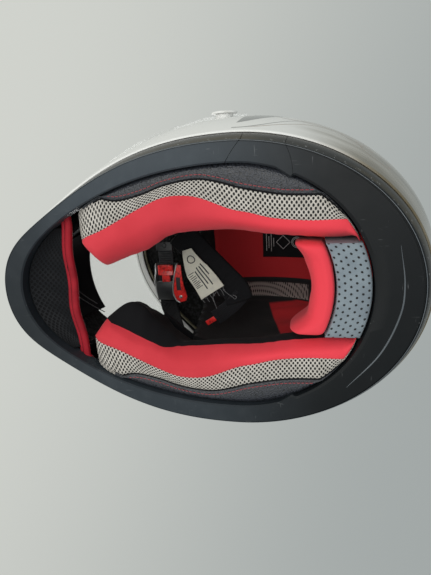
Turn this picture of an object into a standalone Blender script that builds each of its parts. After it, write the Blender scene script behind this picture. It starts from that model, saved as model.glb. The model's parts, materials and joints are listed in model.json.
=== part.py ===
"""Full-face motorcycle helmet: shell, liners, visor, vents, pads, chin curtain and ratchet chin strap.

The frame stands upright on the base trim: +Z towards the crown, -Y towards the chin and +X towards the
wearer's left ear. The origin is under the middle of the helmet, on the plane that the trim rests on.
"""

import math

import bmesh
import bpy
import numpy as np
from mathutils import Matrix, Vector

# Outer shell
SHELL_HALF_WIDTH = 0.131
SHELL_HEIGHT = 0.257
SHELL_WALL = 0.004
SHELL_BOTTOM = 0.014
BASE_HALF_WIDTH = SHELL_HALF_WIDTH - 0.0165
WIDEST_Z = 0.100
CENTRE_Y = 0.015
FRONT_REACH = 0.192
BASE_FRONT_REACH = FRONT_REACH - 0.0015
FRONT_Z = 0.045
REAR_REACH = 0.162
BASE_REAR_REACH = REAR_REACH - 0.020
REAR_Z = 0.120
SIDE_POWER = 2.15
BASE_CHEEK_HOLLOW = 0.125
CROWN_CHEEK_HOLLOW = 0.02

# Base trim, the ring that the helmet stands on
TRIM_HALF_WIDTH = BASE_HALF_WIDTH - 0.0062
TRIM_FRONT_REACH = BASE_FRONT_REACH - 0.0015
TRIM_REAR_REACH = BASE_REAR_REACH - 0.0065
TRIM_SIDE_FLARE = 0.0045
TRIM_FRONT_FLARE = 0.001
TRIM_REAR_FLARE = 0.0052
TRIM_SIDE_WIDTH = 0.0153
TRIM_FRONT_WIDTH = 0.016
TRIM_REAR_WIDTH = 0.035
TRIM_INNER_HOLLOW = 0.05
COVER_FRONT_Y = 0.017
COVER_REAR_Y = 0.056
COVER_CUT_LOW = -0.010
COVER_CUT_HIGH = 0.030
TRIM_SEAM = 0.0004

# Eye port and visor
PORT_HALF_WIDTH = 0.112
PORT_CENTRE_Z = 0.134
PORT_HALF_HEIGHT = 0.048
PORT_POWER = 2.6
PORT_REAR_Y = -0.040
VISOR_GAP = 0.0032
VISOR_WALL = 0.002
VISOR_OVERLAP = 0.009
VISOR_ARM_HALF_HEIGHT = 0.015
VISOR_END_ANGLE = math.radians(6.5)
VISOR_COLUMNS = 37
PIVOT_Y = -0.005
PIVOT_Z = 0.122
PIVOT_RADIUS = 0.008
PIVOT_FIT = 0.0004
PIVOT_CAP_RADIUS = 0.012
PIVOT_CAP_WALL = 0.002
SEAL_RADIUS = 0.001
SEAL_MARGIN = 0.004
SEAL_GAP = 0.0004
TAB_ANGLE = math.radians(-34)
VISOR_TAB_HALF_WIDTH = 0.011
VISOR_TAB_HALF_HEIGHT = 0.0025
VISOR_TAB_NEAR = 0.0008
VISOR_TAB_FAR = 0.006

# Liners
GAP = 0.0006
LINER_GAP = 0.0018
LINER_WALL = 0.030
LINER_BOTTOM = 0.060
LINER_PORT_MARGIN = 0.004
CROWN_PAD_GAP = 0.004
CROWN_PAD_WALL = 0.010
CROWN_PAD_BOTTOM = 0.078
CHIN_LINER_WALL = 0.020
CHIN_LINER_TOP = 0.076
CHIN_LINER_SPREAD = 0.72
CORE_WALL = 0.014
CORE_TOP = 0.086
CORE_FRONT_ANGLE = 1.1
CORE_REAR_ANGLE = 2.1

# Cheek pads, neck roll and chin curtain
PAD_FRONT_Y = -0.098
PAD_REAR_Y = 0.098
PAD_LIP_X = 0.044
PAD_LIP_Y = -0.006
PAD_LIP_FRONT_DROP = 0.024
PAD_LIP_REAR_DROP = 0.0065
PAD_BOTTOM = 0.004
PAD_TOP = 0.092
PAD_CORNER = 0.012
PAD_CLEARANCE = 0.0015
PAD_CORNER_SHARE = 0.3
PAD_HEM = 0.002
PAD_EDGE = 0.006
PAD_TOP_DROP = 0.035
PAD_STATIONS = 13
PAD_LIP_POWER = 1.6
ROLL_HALF_WIDTH = 0.0355
ROLL_INNER_Y = 0.072
ROLL_SAG = 0.008
ROLL_DEPTH = 0.017
ROLL_SEAM = 0.001
ROLL_BOTTOM = 0.005
ROLL_TOP = 0.050
ROLL_NEAR_EDGE = 0.008
ROLL_TOP_EDGE = 0.006
ROLL_FAR_EDGE = 0.003
CURTAIN_HALF_WIDTH = 0.382 * SHELL_HALF_WIDTH
PIPING_HALF_WIDTH = CURTAIN_HALF_WIDTH + 0.002
CURTAIN_EDGE_Y = -0.119
CURTAIN_BOW = 0.003
CURTAIN_WALL = 0.0016
CURTAIN_OUTER_Z = 0.0085
CURTAIN_INNER_Z = 0.013
PIPING_RADIUS = 0.0032
GUARD_WALL = 0.002
GUARD_GAP = 0.003
GUARD_SPREAD = 0.42
GUARD_BOTTOM = 0.042
GUARD_TOP = 0.090

# Chin strap and ratchet buckle
STRAP_WIDTH = 0.024
STRAP_WALL = 0.003
STRAP_END_X = 0.098
STRAP_END_Y = -0.060
STRAP_END_Z = 0.1025
STRAP_END_GAP = 0.0016
RIGHT_STRAP_WIDTH = 0.0192
RIGHT_STRAP_BENDS = ((-0.080, -0.064, 0.110), (-0.066, -0.074, 0.130))
RIGHT_STRAP_TAIL = 0.006
LEFT_STRAP_BENDS = ((0.080, -0.062, 0.110), (0.062, -0.070, 0.124))
LEFT_STRAP_SHIFT_Y = 0.002
LEFT_STRAP_SHIFT_Z = -0.003
ANCHOR_GAP = 0.0024
ANCHOR_WALL = 0.003
ANCHOR_HEIGHT = 0.012
BUCKLE_LENGTH = 0.040
BUCKLE_WIDTH = 0.026
BUCKLE_WALL = 0.0025
BUCKLE_DEPTH = 0.012
BUCKLE_X = -0.028
BUCKLE_Y = -0.080
BUCKLE_Z = 0.138
LEVER_LENGTH = 0.019
LEVER_PIN_SHIFT = 0.0005
LEVER_WIDTH = 0.018
LEVER_WALL = 0.0022
LEVER_HEEL = 0.0026
LEVER_PIN_RADIUS = 0.001
LEVER_PIN_DEPTH = 0.0032
LEVER_BORE_FIT = 0.0002
RACK_WIDTH = 0.016
RACK_WALL = 0.0024
RACK_LENGTH = 0.058
RACK_INSET = 0.010
RACK_TRAVEL = 0.012
TAB_LOW = (-0.062, -0.030, 0.106)
TAB_LENGTH = 0.014
TAB_WALL = 0.003
SLEEVE_WIDTH = 0.030
SLEEVE_WALL = 0.006
SLEEVE_PATH = (
    (0.024, -0.048, 0.108), (0.006, -0.034, 0.111), (-0.012, -0.017, 0.112), (-0.032, 0.002, 0.110),
)
TAG_WIDTH = 0.024
TAG_WALL = 0.0006
TAG_PATH = ((0.012, -0.039, 0.1052), (-0.004, -0.025, 0.1070), (-0.022, -0.008, 0.1070))

# Vents
CHIN_VENT_Z = 0.052
CHIN_VENT_HALF_WIDTH = 0.026
CHIN_VENT_HALF_HEIGHT = 0.013
CROWN_VENT_Y = 0.030
CROWN_VENT_HALF_WIDTH = 0.024
CROWN_VENT_HALF_LENGTH = 0.032
VENT_WALL = 0.0035
SLIDER_FIT = 0.0008
CHIN_TRAVEL = 0.005
CROWN_TRAVEL = 0.010
SLIDER_SHARE = 0.3
CHIN_SLIDER_SHARE = 0.35
CHIN_SLIDER_PROUD = 0.001
CROWN_SLIDER_LENGTH = 0.018
CROWN_SLIDER_LIFT = 0.0012
CROWN_SLIDER_PROUD = 0.0015
CUT_REACH = 0.02
EXHAUST_Z = 0.176
EXHAUST_HALF_WIDTH = 0.042
EXHAUST_HALF_HEIGHT = 0.014

AROUND = 48
COLLECTION_NAME = "motorcycle_helmet"


def clear_scene():
    for obj in list(bpy.data.objects):
        bpy.data.objects.remove(obj, do_unlink=True)


def new_collection(name):
    made = bpy.data.collections.new(name)
    bpy.context.scene.collection.children.link(made)
    return made


def new_material(name, color, roughness, metallic=0.0, alpha=1.0):
    made = bpy.data.materials.new(name)
    made.use_nodes = True
    shader = made.node_tree.nodes["Principled BSDF"]
    shader.inputs["Base Color"].default_value = (*color, 1.0)
    shader.inputs["Roughness"].default_value = roughness
    shader.inputs["Metallic"].default_value = metallic
    shader.inputs["Alpha"].default_value = alpha
    return made


def add_mesh(name, points, faces, collection, material=None, smooth=True):
    """A mesh object whose normals are recalculated to point outwards."""
    mesh = bpy.data.meshes.new(name)
    mesh.from_pydata([tuple(p) for p in points], [], faces)
    shape = bmesh.new()
    shape.from_mesh(mesh)
    bmesh.ops.remove_doubles(shape, verts=shape.verts, dist=1e-6)
    bmesh.ops.recalc_face_normals(shape, faces=shape.faces)
    shape.to_mesh(mesh)
    shape.free()
    if smooth:
        mesh.shade_smooth()
        mesh.set_sharp_from_angle(angle=math.radians(40))
    obj = bpy.data.objects.new(name, mesh)
    collection.objects.link(obj)
    if material:
        mesh.materials.append(material)
    return obj


def as_cutter(obj):
    obj.hide_render = True
    obj.display_type = "WIRE"
    return obj


def boolean(obj, other, operation="DIFFERENCE"):
    modifier = obj.modifiers.new(operation.lower() + "_" + other.name, "BOOLEAN")
    modifier.operation = operation
    modifier.object = other
    modifier.solver = "EXACT"


def solidify(obj, wall, offset):
    modifier = obj.modifiers.new("wall", "SOLIDIFY")
    modifier.thickness = wall
    modifier.offset = offset


def bevel(obj, width):
    modifier = obj.modifiers.new("rounded_edges", "BEVEL")
    modifier.width = width
    modifier.segments = 2
    modifier.limit_method = "ANGLE"


def finished(name, shape, collection, material, turn=None):
    """An object from a bmesh, turned by a matrix."""
    mesh = bpy.data.meshes.new(name)
    shape.to_mesh(mesh)
    shape.free()
    if turn is not None:
        mesh.transform(turn)
    if material:
        mesh.materials.append(material)
    obj = bpy.data.objects.new(name, mesh)
    collection.objects.link(obj)
    return obj


def box(name, low, high, collection, material=None, turn=None):
    """A box primitive between two corners, turned by a matrix afterwards."""
    shape = bmesh.new()
    bmesh.ops.create_cube(shape, size=1.0)
    size = Vector([abs(b - a) for a, b in zip(low, high)])
    middle = (Vector(high) + Vector(low)) / 2
    bmesh.ops.scale(shape, vec=size, verts=shape.verts)
    bmesh.ops.translate(shape, vec=middle, verts=shape.verts)
    return finished(name, shape, collection, material, turn)


def cylinder(name, start, end, radius, collection, material=None, sides=24):
    """A capped cylinder primitive between two points."""
    start, end = Vector(start), Vector(end)
    along = end - start
    shape = bmesh.new()
    bmesh.ops.create_cone(
        shape, cap_ends=True, segments=sides, radius1=radius, radius2=radius, depth=along.length
    )
    turn = along.to_track_quat("Z", "Y").to_matrix().to_4x4()
    obj = finished(name, shape, collection, material, Matrix.Translation((start + end) / 2) @ turn)
    obj.data.shade_smooth()
    obj.data.set_sharp_from_angle(angle=math.radians(40))
    return obj


def tube(name, points, radius, cyclic, collection, material):
    """A round cord or edging along a smooth row of points."""
    curve = bpy.data.curves.new(name, "CURVE")
    curve.dimensions = "3D"
    curve.bevel_depth = radius
    curve.bevel_resolution = 2
    curve.use_fill_caps = not cyclic
    spline = curve.splines.new("POLY")
    spline.points.add(len(points) - 1)
    for slot, point in zip(spline.points, points):
        slot.co = (*point, 1.0)
    spline.use_cyclic_u = cyclic
    curve.materials.append(material)
    obj = bpy.data.objects.new(name, curve)
    collection.objects.link(obj)
    return obj


def grid_faces(rows, columns, wrap=False):
    """Quads of a rows by columns grid of points, with the last column joined to the first if it wraps."""
    faces = []
    for i in range(rows - 1):
        for j in range(columns if wrap else columns - 1):
            k = (j + 1) % columns
            faces.append((i * columns + j, i * columns + k, (i + 1) * columns + k, (i + 1) * columns + j))
    return faces


def closed_loft(loops):
    """Points and faces of a closed body through equal loops, with a flat cap at each end."""
    count = len(loops[0])
    points = [p for loop in loops for p in loop]
    faces = grid_faces(len(loops), count, wrap=True)
    last = (len(loops) - 1) * count
    faces.append(tuple(range(count)))
    faces.append(tuple(range(last, last + count)))
    return points, faces


def ring_loft(loops):
    """Points and faces of a ring whose cross-section runs through the loops and back to the first."""
    count = len(loops[0])
    points = [p for loop in loops for p in loop]
    faces = grid_faces(len(loops), count, wrap=True)
    last = (len(loops) - 1) * count
    for j in range(count):
        k = (j + 1) % count
        faces.append((last + j, last + k, k, j))
    return points, faces


def egg(half_width, front, rear, hollow, angle, centre=CENTRE_Y):
    """A plan outline point: an ellipse whose front half is longer and a little hollow at the cheeks."""
    c = math.cos(angle)
    pinch = 1 - hollow * math.sin(math.pi * c**3) if c > 0 else 1
    return half_width * math.sin(angle) * pinch, centre - (front if c > 0 else rear) * c


def grown(z, low, base, high, top):
    """A size that swells by a quarter sine wave from the base value at low to the top value at high."""
    share = max(0.0, min(1.0, (z - low) / (high - low)))
    return base + (top - base) * math.sin(share * math.pi / 2)


def domed(z, centre_z, top_z, size, power):
    """A size that shrinks to nothing at the crown along a superellipse."""
    share = min(1.0, max(0.0, (z - centre_z) / (top_z - centre_z)))
    return size * (1 - share**power) ** (1 / power)


def shell_size(z, base, size, full_z, inset, power):
    """One reach of the shell's plan outline at a height, moved inwards by inset."""
    if z <= full_z:
        return grown(z, SHELL_BOTTOM, base, full_z, size) - inset
    return domed(z, full_z, SHELL_HEIGHT - inset, size - inset, power)


def shell_point(z, angle, inset=0.0):
    """A point on the shell's surface, or on one parallel to it, at a height and an angle from the chin."""
    half_width = shell_size(z, BASE_HALF_WIDTH, SHELL_HALF_WIDTH, WIDEST_Z, inset, SIDE_POWER)
    front = shell_size(z, BASE_FRONT_REACH, FRONT_REACH, FRONT_Z, inset, 2.0)
    rear = shell_size(z, BASE_REAR_REACH, REAR_REACH, REAR_Z, inset, SIDE_POWER)
    share = (z - SHELL_BOTTOM) / (SHELL_HEIGHT - SHELL_BOTTOM)
    hollow = BASE_CHEEK_HOLLOW + (CROWN_CHEEK_HOLLOW - BASE_CHEEK_HOLLOW) * math.sqrt(max(0.0, share))
    x, y = egg(half_width, front, rear, hollow, angle)
    return x, y, z


def trim_outer(angle, flare=0.0):
    """The trim's outer outline, from the flat base at flare 0 to the shell's edge at flare 1."""
    return egg(TRIM_HALF_WIDTH + flare * TRIM_SIDE_FLARE, TRIM_FRONT_REACH + flare * TRIM_FRONT_FLARE,
               TRIM_REAR_REACH + flare * TRIM_REAR_FLARE, BASE_CHEEK_HOLLOW, angle)


def trim_inner(angle, grow=0.0):
    return egg(TRIM_HALF_WIDTH - TRIM_SIDE_WIDTH + grow, TRIM_FRONT_REACH - TRIM_FRONT_WIDTH + grow,
               TRIM_REAR_REACH - TRIM_REAR_WIDTH + grow, TRIM_INNER_HOLLOW, angle)


def angles(count):
    return [2 * math.pi * j / count for j in range(count)]


def dome(name, inset, bottom, rings, collection, material, around=AROUND):
    """An open dome parallel to the shell, from a height up to the crown."""
    top = SHELL_HEIGHT - inset
    points = []
    for i in range(rings):
        share = math.sin(math.pi / 2 * i / rings)
        z = bottom + (top - bottom) * share
        points += [shell_point(z, a, inset) for a in angles(around)]
    faces = grid_faces(rings, around, wrap=True)
    points.append((0.0, CENTRE_Y, top))
    last = (rings - 1) * around
    for j in range(around):
        faces.append((last + j, last + (j + 1) % around, len(points) - 1))
    return add_mesh(name, points, faces, collection, material)


def patch(name, low_angle, high_angle, low_z, high_z, inset, columns, rows, collection, material):
    """An open piece of a surface parallel to the shell."""
    points = []
    for i in range(rows):
        z = low_z + (high_z - low_z) * i / (rows - 1)
        for j in range(columns):
            angle = low_angle + (high_angle - low_angle) * j / (columns - 1)
            points.append(shell_point(z, angle, inset))
    return add_mesh(name, points, grid_faces(rows, columns), collection, material)


def port_outline(margin, count=40):
    """The eye port's outline from the front: a superellipse grown by a margin."""
    points = []
    for a in angles(count):
        c, s = math.cos(a), math.sin(a)
        x = (PORT_HALF_WIDTH + margin) * math.copysign(abs(c) ** (2 / PORT_POWER), c)
        z = (PORT_HALF_HEIGHT + margin) * math.copysign(abs(s) ** (2 / PORT_POWER), s)
        points.append((x, PORT_CENTRE_Z + z))
    return points


def port_cutter(name, margin, rear_y, collection):
    """A bar through the eye port, along Y."""
    front_y = CENTRE_Y - 1.5 * FRONT_REACH
    outline = port_outline(margin)
    loops = [[(x, y, z) for x, z in outline] for y in (front_y, rear_y)]
    return as_cutter(add_mesh(name, *closed_loft(loops), collection, smooth=False))


def angle_at(x, z, inset):
    """The angle from the chin at which the shell's front surface reaches a given half-width."""
    low, high = 0.0, math.pi / 2
    for _ in range(40):
        middle = (low + high) / 2
        if shell_point(z, middle, inset)[0] < abs(x):
            low = middle
        else:
            high = middle
    return math.copysign((low + high) / 2, x)


def pivot_axis_point(side, inset):
    """The point of a parallel surface on the visor's pivot axis."""
    low, high = math.pi / 4, math.pi / 2
    for _ in range(40):
        middle = (low + high) / 2
        if shell_point(PIVOT_Z, middle, inset)[1] < PIVOT_Y:
            low = middle
        else:
            high = middle
    return side * shell_point(PIVOT_Z, low, inset)[0]


def smooth_path(points, steps):
    """Points along a Catmull-Rom curve through the given ones."""
    control = [Vector(points[0])] + [Vector(p) for p in points] + [Vector(points[-1])]
    made = []
    for i in range(1, len(control) - 2):
        a, b, c, d = control[i - 1 : i + 3]
        for k in range(steps):
            t = k / steps
            made.append(
                0.5 * (2 * b + (c - a) * t + (2 * a - 5 * b + 4 * c - d) * t * t
                       + (3 * b - a - 3 * c + d) * t**3)
            )
    made.append(control[-2])
    return made


def band(name, path, facing, width, wall, collection, material):
    """A flat strap of rectangular section along a path, its broad side facing one way at each end."""
    loops = []
    for i, point in enumerate(path):
        before, after = path[max(0, i - 1)], path[min(len(path) - 1, i + 1)]
        along = (after - before).normalized()
        share = i / (len(path) - 1)
        normal = Vector(facing[0]).lerp(Vector(facing[1]), share)
        normal = (normal - along * normal.dot(along)).normalized()
        across = along.cross(normal) * width / 2
        up = normal * wall / 2
        loops.append([point - across - up, point + across - up, point + across + up, point - across + up])
    return add_mesh(name, *closed_loft(loops), collection, material, smooth=False)


def make_materials():
    return {
        "shell": new_material("gloss_white_paint", (0.86, 0.86, 0.84), 0.12),
        "trim": new_material("satin_black_trim", (0.03, 0.032, 0.035), 0.4),
        "clear": new_material("clear_visor", (0.95, 0.96, 0.96), 0.03, alpha=0.25),
        "rubber": new_material("black_rubber", (0.02, 0.02, 0.02), 0.7),
        "plastic": new_material("black_plastic", (0.03, 0.03, 0.033), 0.45),
        "foam": new_material("liner_foam", (0.08, 0.08, 0.085), 0.9),
        "red_fabric": new_material("red_fabric", (0.55, 0.03, 0.05), 0.85),
        "grey_fabric": new_material("grey_mesh_fabric", (0.22, 0.25, 0.3), 0.8),
        "black_fabric": new_material("black_fabric", (0.015, 0.015, 0.017), 0.9),
        "dark_red": new_material("dark_red_fabric", (0.2, 0.02, 0.03), 0.9),
        "webbing": new_material("black_webbing", (0.02, 0.02, 0.022), 0.8),
        "steel": new_material("brushed_steel", (0.55, 0.56, 0.58), 0.3, metallic=1.0),
        "red_plastic": new_material("red_plastic", (0.65, 0.02, 0.02), 0.35),
        "white_cloth": new_material("white_cloth", (0.75, 0.75, 0.73), 0.9),
    }


def make_shell(parts, cutters, mats):
    shell = dome("outer_shell", 0.0, SHELL_BOTTOM, 15, parts, mats["shell"])
    solidify(shell, SHELL_WALL, -1.0)
    boolean(shell, port_cutter("port_cutter", 0.0, PORT_REAR_Y, cutters))
    for side, word in ((1, "left"), (-1, "right")):
        boolean(shell, pivot_cutter("pivot_hole_" + word, side, cutters))


def make_liners(parts, cutters, mats):
    inset = SHELL_WALL + LINER_GAP
    port = port_cutter("liner_port_cutter", LINER_PORT_MARGIN, PORT_REAR_Y - LINER_PORT_MARGIN, cutters)
    far = SHELL_HALF_WIDTH * 1.5
    chin_space = box(
        "chin_space_cutter", (-far, -2 * FRONT_REACH, 0), (far, PORT_REAR_Y, PORT_CENTRE_Z), cutters
    )
    cheek_space = box(
        "cheek_space_cutter", (-far, -2 * FRONT_REACH, 0),
        (far, PAD_REAR_Y + 2 * PAD_CLEARANCE, PAD_TOP + 2 * PAD_CLEARANCE), cutters,
    )
    liner = dome("impact_liner", inset, LINER_BOTTOM, 9, parts, mats["foam"], 36)
    solidify(liner, LINER_WALL, -1.0)
    crown_inset = inset + LINER_WALL + CROWN_PAD_GAP
    crown = dome("crown_liner", crown_inset, CROWN_PAD_BOTTOM, 8, parts, mats["dark_red"], 36)
    solidify(crown, CROWN_PAD_WALL, -1.0)
    for obj in (liner, crown):
        boolean(obj, port)
        boolean(obj, as_cutter(chin_space))
        boolean(obj, as_cutter(cheek_space))
    chin = patch(
        "chin_liner", -CHIN_LINER_SPREAD, CHIN_LINER_SPREAD, SHELL_BOTTOM + GAP, CHIN_LINER_TOP, inset,
        17, 4, parts, mats["foam"],
    )
    solidify(chin, CHIN_LINER_WALL, -1.0)
    for side, word in ((1, "left"), (-1, "right")):
        core = patch(
            "cheek_core_" + word, side * CORE_FRONT_ANGLE, side * CORE_REAR_ANGLE, SHELL_BOTTOM + GAP,
            CORE_TOP, inset, 9, 3, parts, mats["foam"],
        )
        solidify(core, CORE_WALL, -1.0)


def make_trim(parts, cutters, mats):
    """The trim ring, with a short access cover let into its left side."""
    top = SHELL_BOTTOM - GAP
    turn = angles(72)
    loops = [
        [(*trim_outer(a), 0.0) for a in turn],
        [(*trim_outer(a, 1.0), top) for a in turn],
        [(*trim_inner(a), top) for a in turn],
        [(*trim_inner(a), 0.0) for a in turn],
    ]
    points, faces = ring_loft(loops)
    ring = add_mesh("base_trim", points, faces, parts, mats["trim"])
    cover = add_mesh("trim_access_cover", points, faces, parts, mats["trim"])
    reach = TRIM_HALF_WIDTH * 1.3
    low, high = (0.0, COVER_FRONT_Y, COVER_CUT_LOW), (reach, COVER_REAR_Y, COVER_CUT_HIGH)
    gap = as_cutter(box("cover_gap_cutter", low, high, cutters))
    low = (0.0, COVER_FRONT_Y + TRIM_SEAM, COVER_CUT_LOW)
    high = (reach, COVER_REAR_Y - TRIM_SEAM, COVER_CUT_HIGH)
    keep = as_cutter(box("cover_keep_cutter", low, high, cutters))
    boolean(ring, gap)
    boolean(cover, keep, "INTERSECT")


def visor_band(angle):
    """The visor's middle height and half height at an angle from the chin."""
    pivot_angle = math.acos((CENTRE_Y - PIVOT_Y) / FRONT_REACH)
    share = min(1.0, abs(angle) / pivot_angle)
    x = abs(shell_point(PORT_CENTRE_Z, angle)[0])
    wide = min(1.0, x / (PORT_HALF_WIDTH + VISOR_OVERLAP))
    full = PORT_HALF_HEIGHT + VISOR_OVERLAP - VISOR_ARM_HALF_HEIGHT
    half = VISOR_ARM_HALF_HEIGHT + full * (1 - wide**PORT_POWER) ** (1 / PORT_POWER)
    if abs(angle) > pivot_angle:
        end = (abs(angle) - pivot_angle) / VISOR_END_ANGLE
        half *= math.sqrt(max(0.0, 1 - end**2))
    return PORT_CENTRE_Z + (PIVOT_Z - PORT_CENTRE_Z) * share**2, half


def make_visor(parts, cutters, mats):
    """A clear shield parallel to the shell, on two pivots, with a lifting tab at its lower left."""
    pivot_angle = math.acos((CENTRE_Y - PIVOT_Y) / FRONT_REACH)
    reach = pivot_angle + VISOR_END_ANGLE * 0.95
    rows = 9
    points = []
    for i in range(rows):
        for j in range(VISOR_COLUMNS):
            angle = reach * (2 * j / (VISOR_COLUMNS - 1) - 1)
            middle, half = visor_band(angle)
            z = middle + half * (2 * i / (rows - 1) - 1)
            points.append(shell_point(z, angle, -VISOR_GAP))
    visor = add_mesh("visor", points, grid_faces(rows, VISOR_COLUMNS), parts, mats["clear"])
    solidify(visor, VISOR_WALL, 1.0)
    for side, word in ((1, "left"), (-1, "right")):
        boolean(visor, pivot_cutter("visor_hole_" + word, side, cutters))
        make_pivot(side, word, parts, mats)
    path = []
    for x, z in port_outline(SEAL_MARGIN, 56):
        path.append(shell_point(z, angle_at(x, z, -SEAL_RADIUS), -SEAL_RADIUS - SEAL_GAP))
    tube("visor_seal", path, SEAL_RADIUS, True, parts, mats["rubber"])
    make_visor_tab(parts, mats)


def pivot_cutter(name, side, cutters):
    """A cylinder on the visor's pivot axis, through one side of the shell and the visor."""
    far = side * SHELL_HALF_WIDTH * 1.2
    near = far * 0.7
    return as_cutter(cylinder(
        name, (near, PIVOT_Y, PIVOT_Z), (far, PIVOT_Y, PIVOT_Z), PIVOT_RADIUS + PIVOT_FIT, cutters
    ))


def make_pivot(side, word, parts, mats):
    """The stub that the visor turns on, and the cap that keeps it there."""
    inner = pivot_axis_point(side, SHELL_WALL)
    seat = side * (SHELL_HALF_WIDTH + VISOR_GAP + VISOR_WALL + GAP / 2)
    cylinder("visor_pivot_" + word, (inner, PIVOT_Y, PIVOT_Z), (seat, PIVOT_Y, PIVOT_Z), PIVOT_RADIUS,
             parts, mats["plastic"])
    cylinder("visor_screw_" + word, (seat + side * GAP / 2, PIVOT_Y, PIVOT_Z),
             (seat + side * (PIVOT_CAP_WALL + GAP / 2), PIVOT_Y, PIVOT_Z), PIVOT_CAP_RADIUS,
             parts, mats["plastic"])


def make_visor_tab(parts, mats):
    tab_z = PORT_CENTRE_Z - PORT_HALF_HEIGHT
    place = shell_point(tab_z, TAB_ANGLE, -VISOR_GAP - VISOR_WALL - GAP)
    ahead = Vector(shell_point(tab_z, TAB_ANGLE + 0.02)) - Vector(shell_point(tab_z, TAB_ANGLE - 0.02))
    turn = Matrix.Translation(place) @ Matrix.Rotation(math.atan2(ahead.y, ahead.x), 4, "Z")
    low = (-VISOR_TAB_HALF_WIDTH, -VISOR_TAB_FAR, -VISOR_TAB_HALF_HEIGHT)
    high = (VISOR_TAB_HALF_WIDTH, -VISOR_TAB_NEAR, VISOR_TAB_HALF_HEIGHT)
    box("visor_tab", low, high, parts, mats["plastic"], turn)


def make_chin_vent(parts, cutters, mats):
    """The chin vent and the shutter that slides up and down in it."""
    y_front = shell_point(CHIN_VENT_Z, 0.0)[1]
    spread = CHIN_VENT_HALF_WIDTH / SHELL_HALF_WIDTH
    frame = patch("chin_vent", -spread, spread, CHIN_VENT_Z - CHIN_VENT_HALF_HEIGHT,
                  CHIN_VENT_Z + CHIN_VENT_HALF_HEIGHT, -GAP, 7, 3, parts, mats["plastic"])
    solidify(frame, VENT_WALL, 1.0)
    half_width = CHIN_VENT_HALF_WIDTH * SLIDER_SHARE
    half_height = CHIN_VENT_HALF_HEIGHT * CHIN_SLIDER_SHARE
    low = Vector((-half_width, y_front - GAP - VENT_WALL - CHIN_SLIDER_PROUD, CHIN_VENT_Z - half_height))
    high = Vector((half_width, y_front - 2 * GAP, CHIN_VENT_Z + half_height - CHIN_TRAVEL))
    fit = Vector((SLIDER_FIT, CUT_REACH, SLIDER_FIT))
    slot = box("chin_slot_cutter", low - fit, high + fit + Vector((0, 0, CHIN_TRAVEL)), cutters)
    boolean(frame, as_cutter(slot))
    box("chin_vent_slider", low, high, parts, mats["plastic"])


def make_crown_vent(parts, cutters, mats):
    """The crown vent and the shutter that slides to the rear in it."""
    rows, columns = 7, 5
    points = []
    for i in range(rows):
        y = CROWN_VENT_Y + CROWN_VENT_HALF_LENGTH * (2 * i / (rows - 1) - 1)
        for j in range(columns):
            x = CROWN_VENT_HALF_WIDTH * (2 * j / (columns - 1) - 1)
            points.append((x, y, crown_height(x, y) + GAP))
    vent = add_mesh("crown_vent", points, grid_faces(rows, columns), parts, mats["plastic"])
    solidify(vent, VENT_WALL, 1.0)
    half = CROWN_VENT_HALF_WIDTH * SLIDER_SHARE
    low = Vector((-half, CROWN_VENT_Y - CROWN_SLIDER_LENGTH, SHELL_HEIGHT + GAP + CROWN_SLIDER_LIFT))
    high = Vector((half, CROWN_VENT_Y, SHELL_HEIGHT + VENT_WALL + GAP + CROWN_SLIDER_PROUD))
    fit = Vector((SLIDER_FIT, SLIDER_FIT, CUT_REACH))
    slot = box("crown_slot_cutter", low - fit, high + fit + Vector((0, CROWN_TRAVEL, 0)), cutters)
    boolean(vent, as_cutter(slot))
    box("crown_vent_slider", low, high, parts, mats["plastic"])


def make_exhaust(parts, mats):
    spread = EXHAUST_HALF_WIDTH / SHELL_HALF_WIDTH
    rear = patch("rear_exhaust", math.pi - spread, math.pi + spread, EXHAUST_Z - EXHAUST_HALF_HEIGHT,
                 EXHAUST_Z + EXHAUST_HALF_HEIGHT, -GAP, 9, 4, parts, mats["plastic"])
    solidify(rear, VENT_WALL, 1.0)


def crown_height(x, y):
    """The shell's height above a point near the crown."""
    low, high = REAR_Z, SHELL_HEIGHT
    for _ in range(40):
        z = (low + high) / 2
        angle = 0.0 if y < CENTRE_Y else math.pi
        reach = abs(shell_point(z, angle)[1] - CENTRE_Y)
        side = shell_point(z, math.pi / 2)[0]
        if (x / max(side, 1e-6)) ** 2 + ((y - CENTRE_Y) / max(reach, 1e-6)) ** 2 < 1:
            low = z
        else:
            high = z
    return low


def lip_x(y):
    """The half-gap between the cheek pads' inner faces at a place along the helmet."""
    if y < PAD_LIP_Y:
        share = (PAD_LIP_Y - y) / (PAD_LIP_Y - PAD_FRONT_Y)
        return PAD_LIP_X - PAD_LIP_FRONT_DROP * share**PAD_LIP_POWER
    return PAD_LIP_X - PAD_LIP_REAR_DROP * (y - PAD_LIP_Y) / (PAD_REAR_Y - PAD_LIP_Y)


def trim_inner_x(y, clearance):
    """The trim opening's half-width at a place along the helmet."""
    low, high = (0.0, math.pi / 2) if y < CENTRE_Y else (math.pi / 2, math.pi)
    for _ in range(40):
        middle = (low + high) / 2
        if trim_inner(middle, -clearance)[1] < y:
            low = middle
        else:
            high = middle
    return trim_inner(low, -clearance)[0]


def pad_section(share):
    """A cheek pad's chamfered section, in x and z, at a share of the way from its front to its rear."""
    y = PAD_FRONT_Y + (PAD_REAR_Y - PAD_FRONT_Y) * share
    inner, outer = lip_x(y), trim_inner_x(y, PAD_CLEARANCE)
    top = PAD_TOP - PAD_TOP_DROP * share**2
    cut = min(PAD_CORNER, (outer - inner) * PAD_CORNER_SHARE)
    bottom = PAD_BOTTOM + PAD_EDGE * abs(2 * share - 1) ** 6
    return y, [
        (inner + cut, bottom), (outer - PAD_HEM, bottom), (outer, bottom + PAD_EDGE), (outer, top - cut),
        (outer - cut, top), (inner + cut, top), (inner, top - cut), (inner, bottom + cut),
    ]


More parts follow.
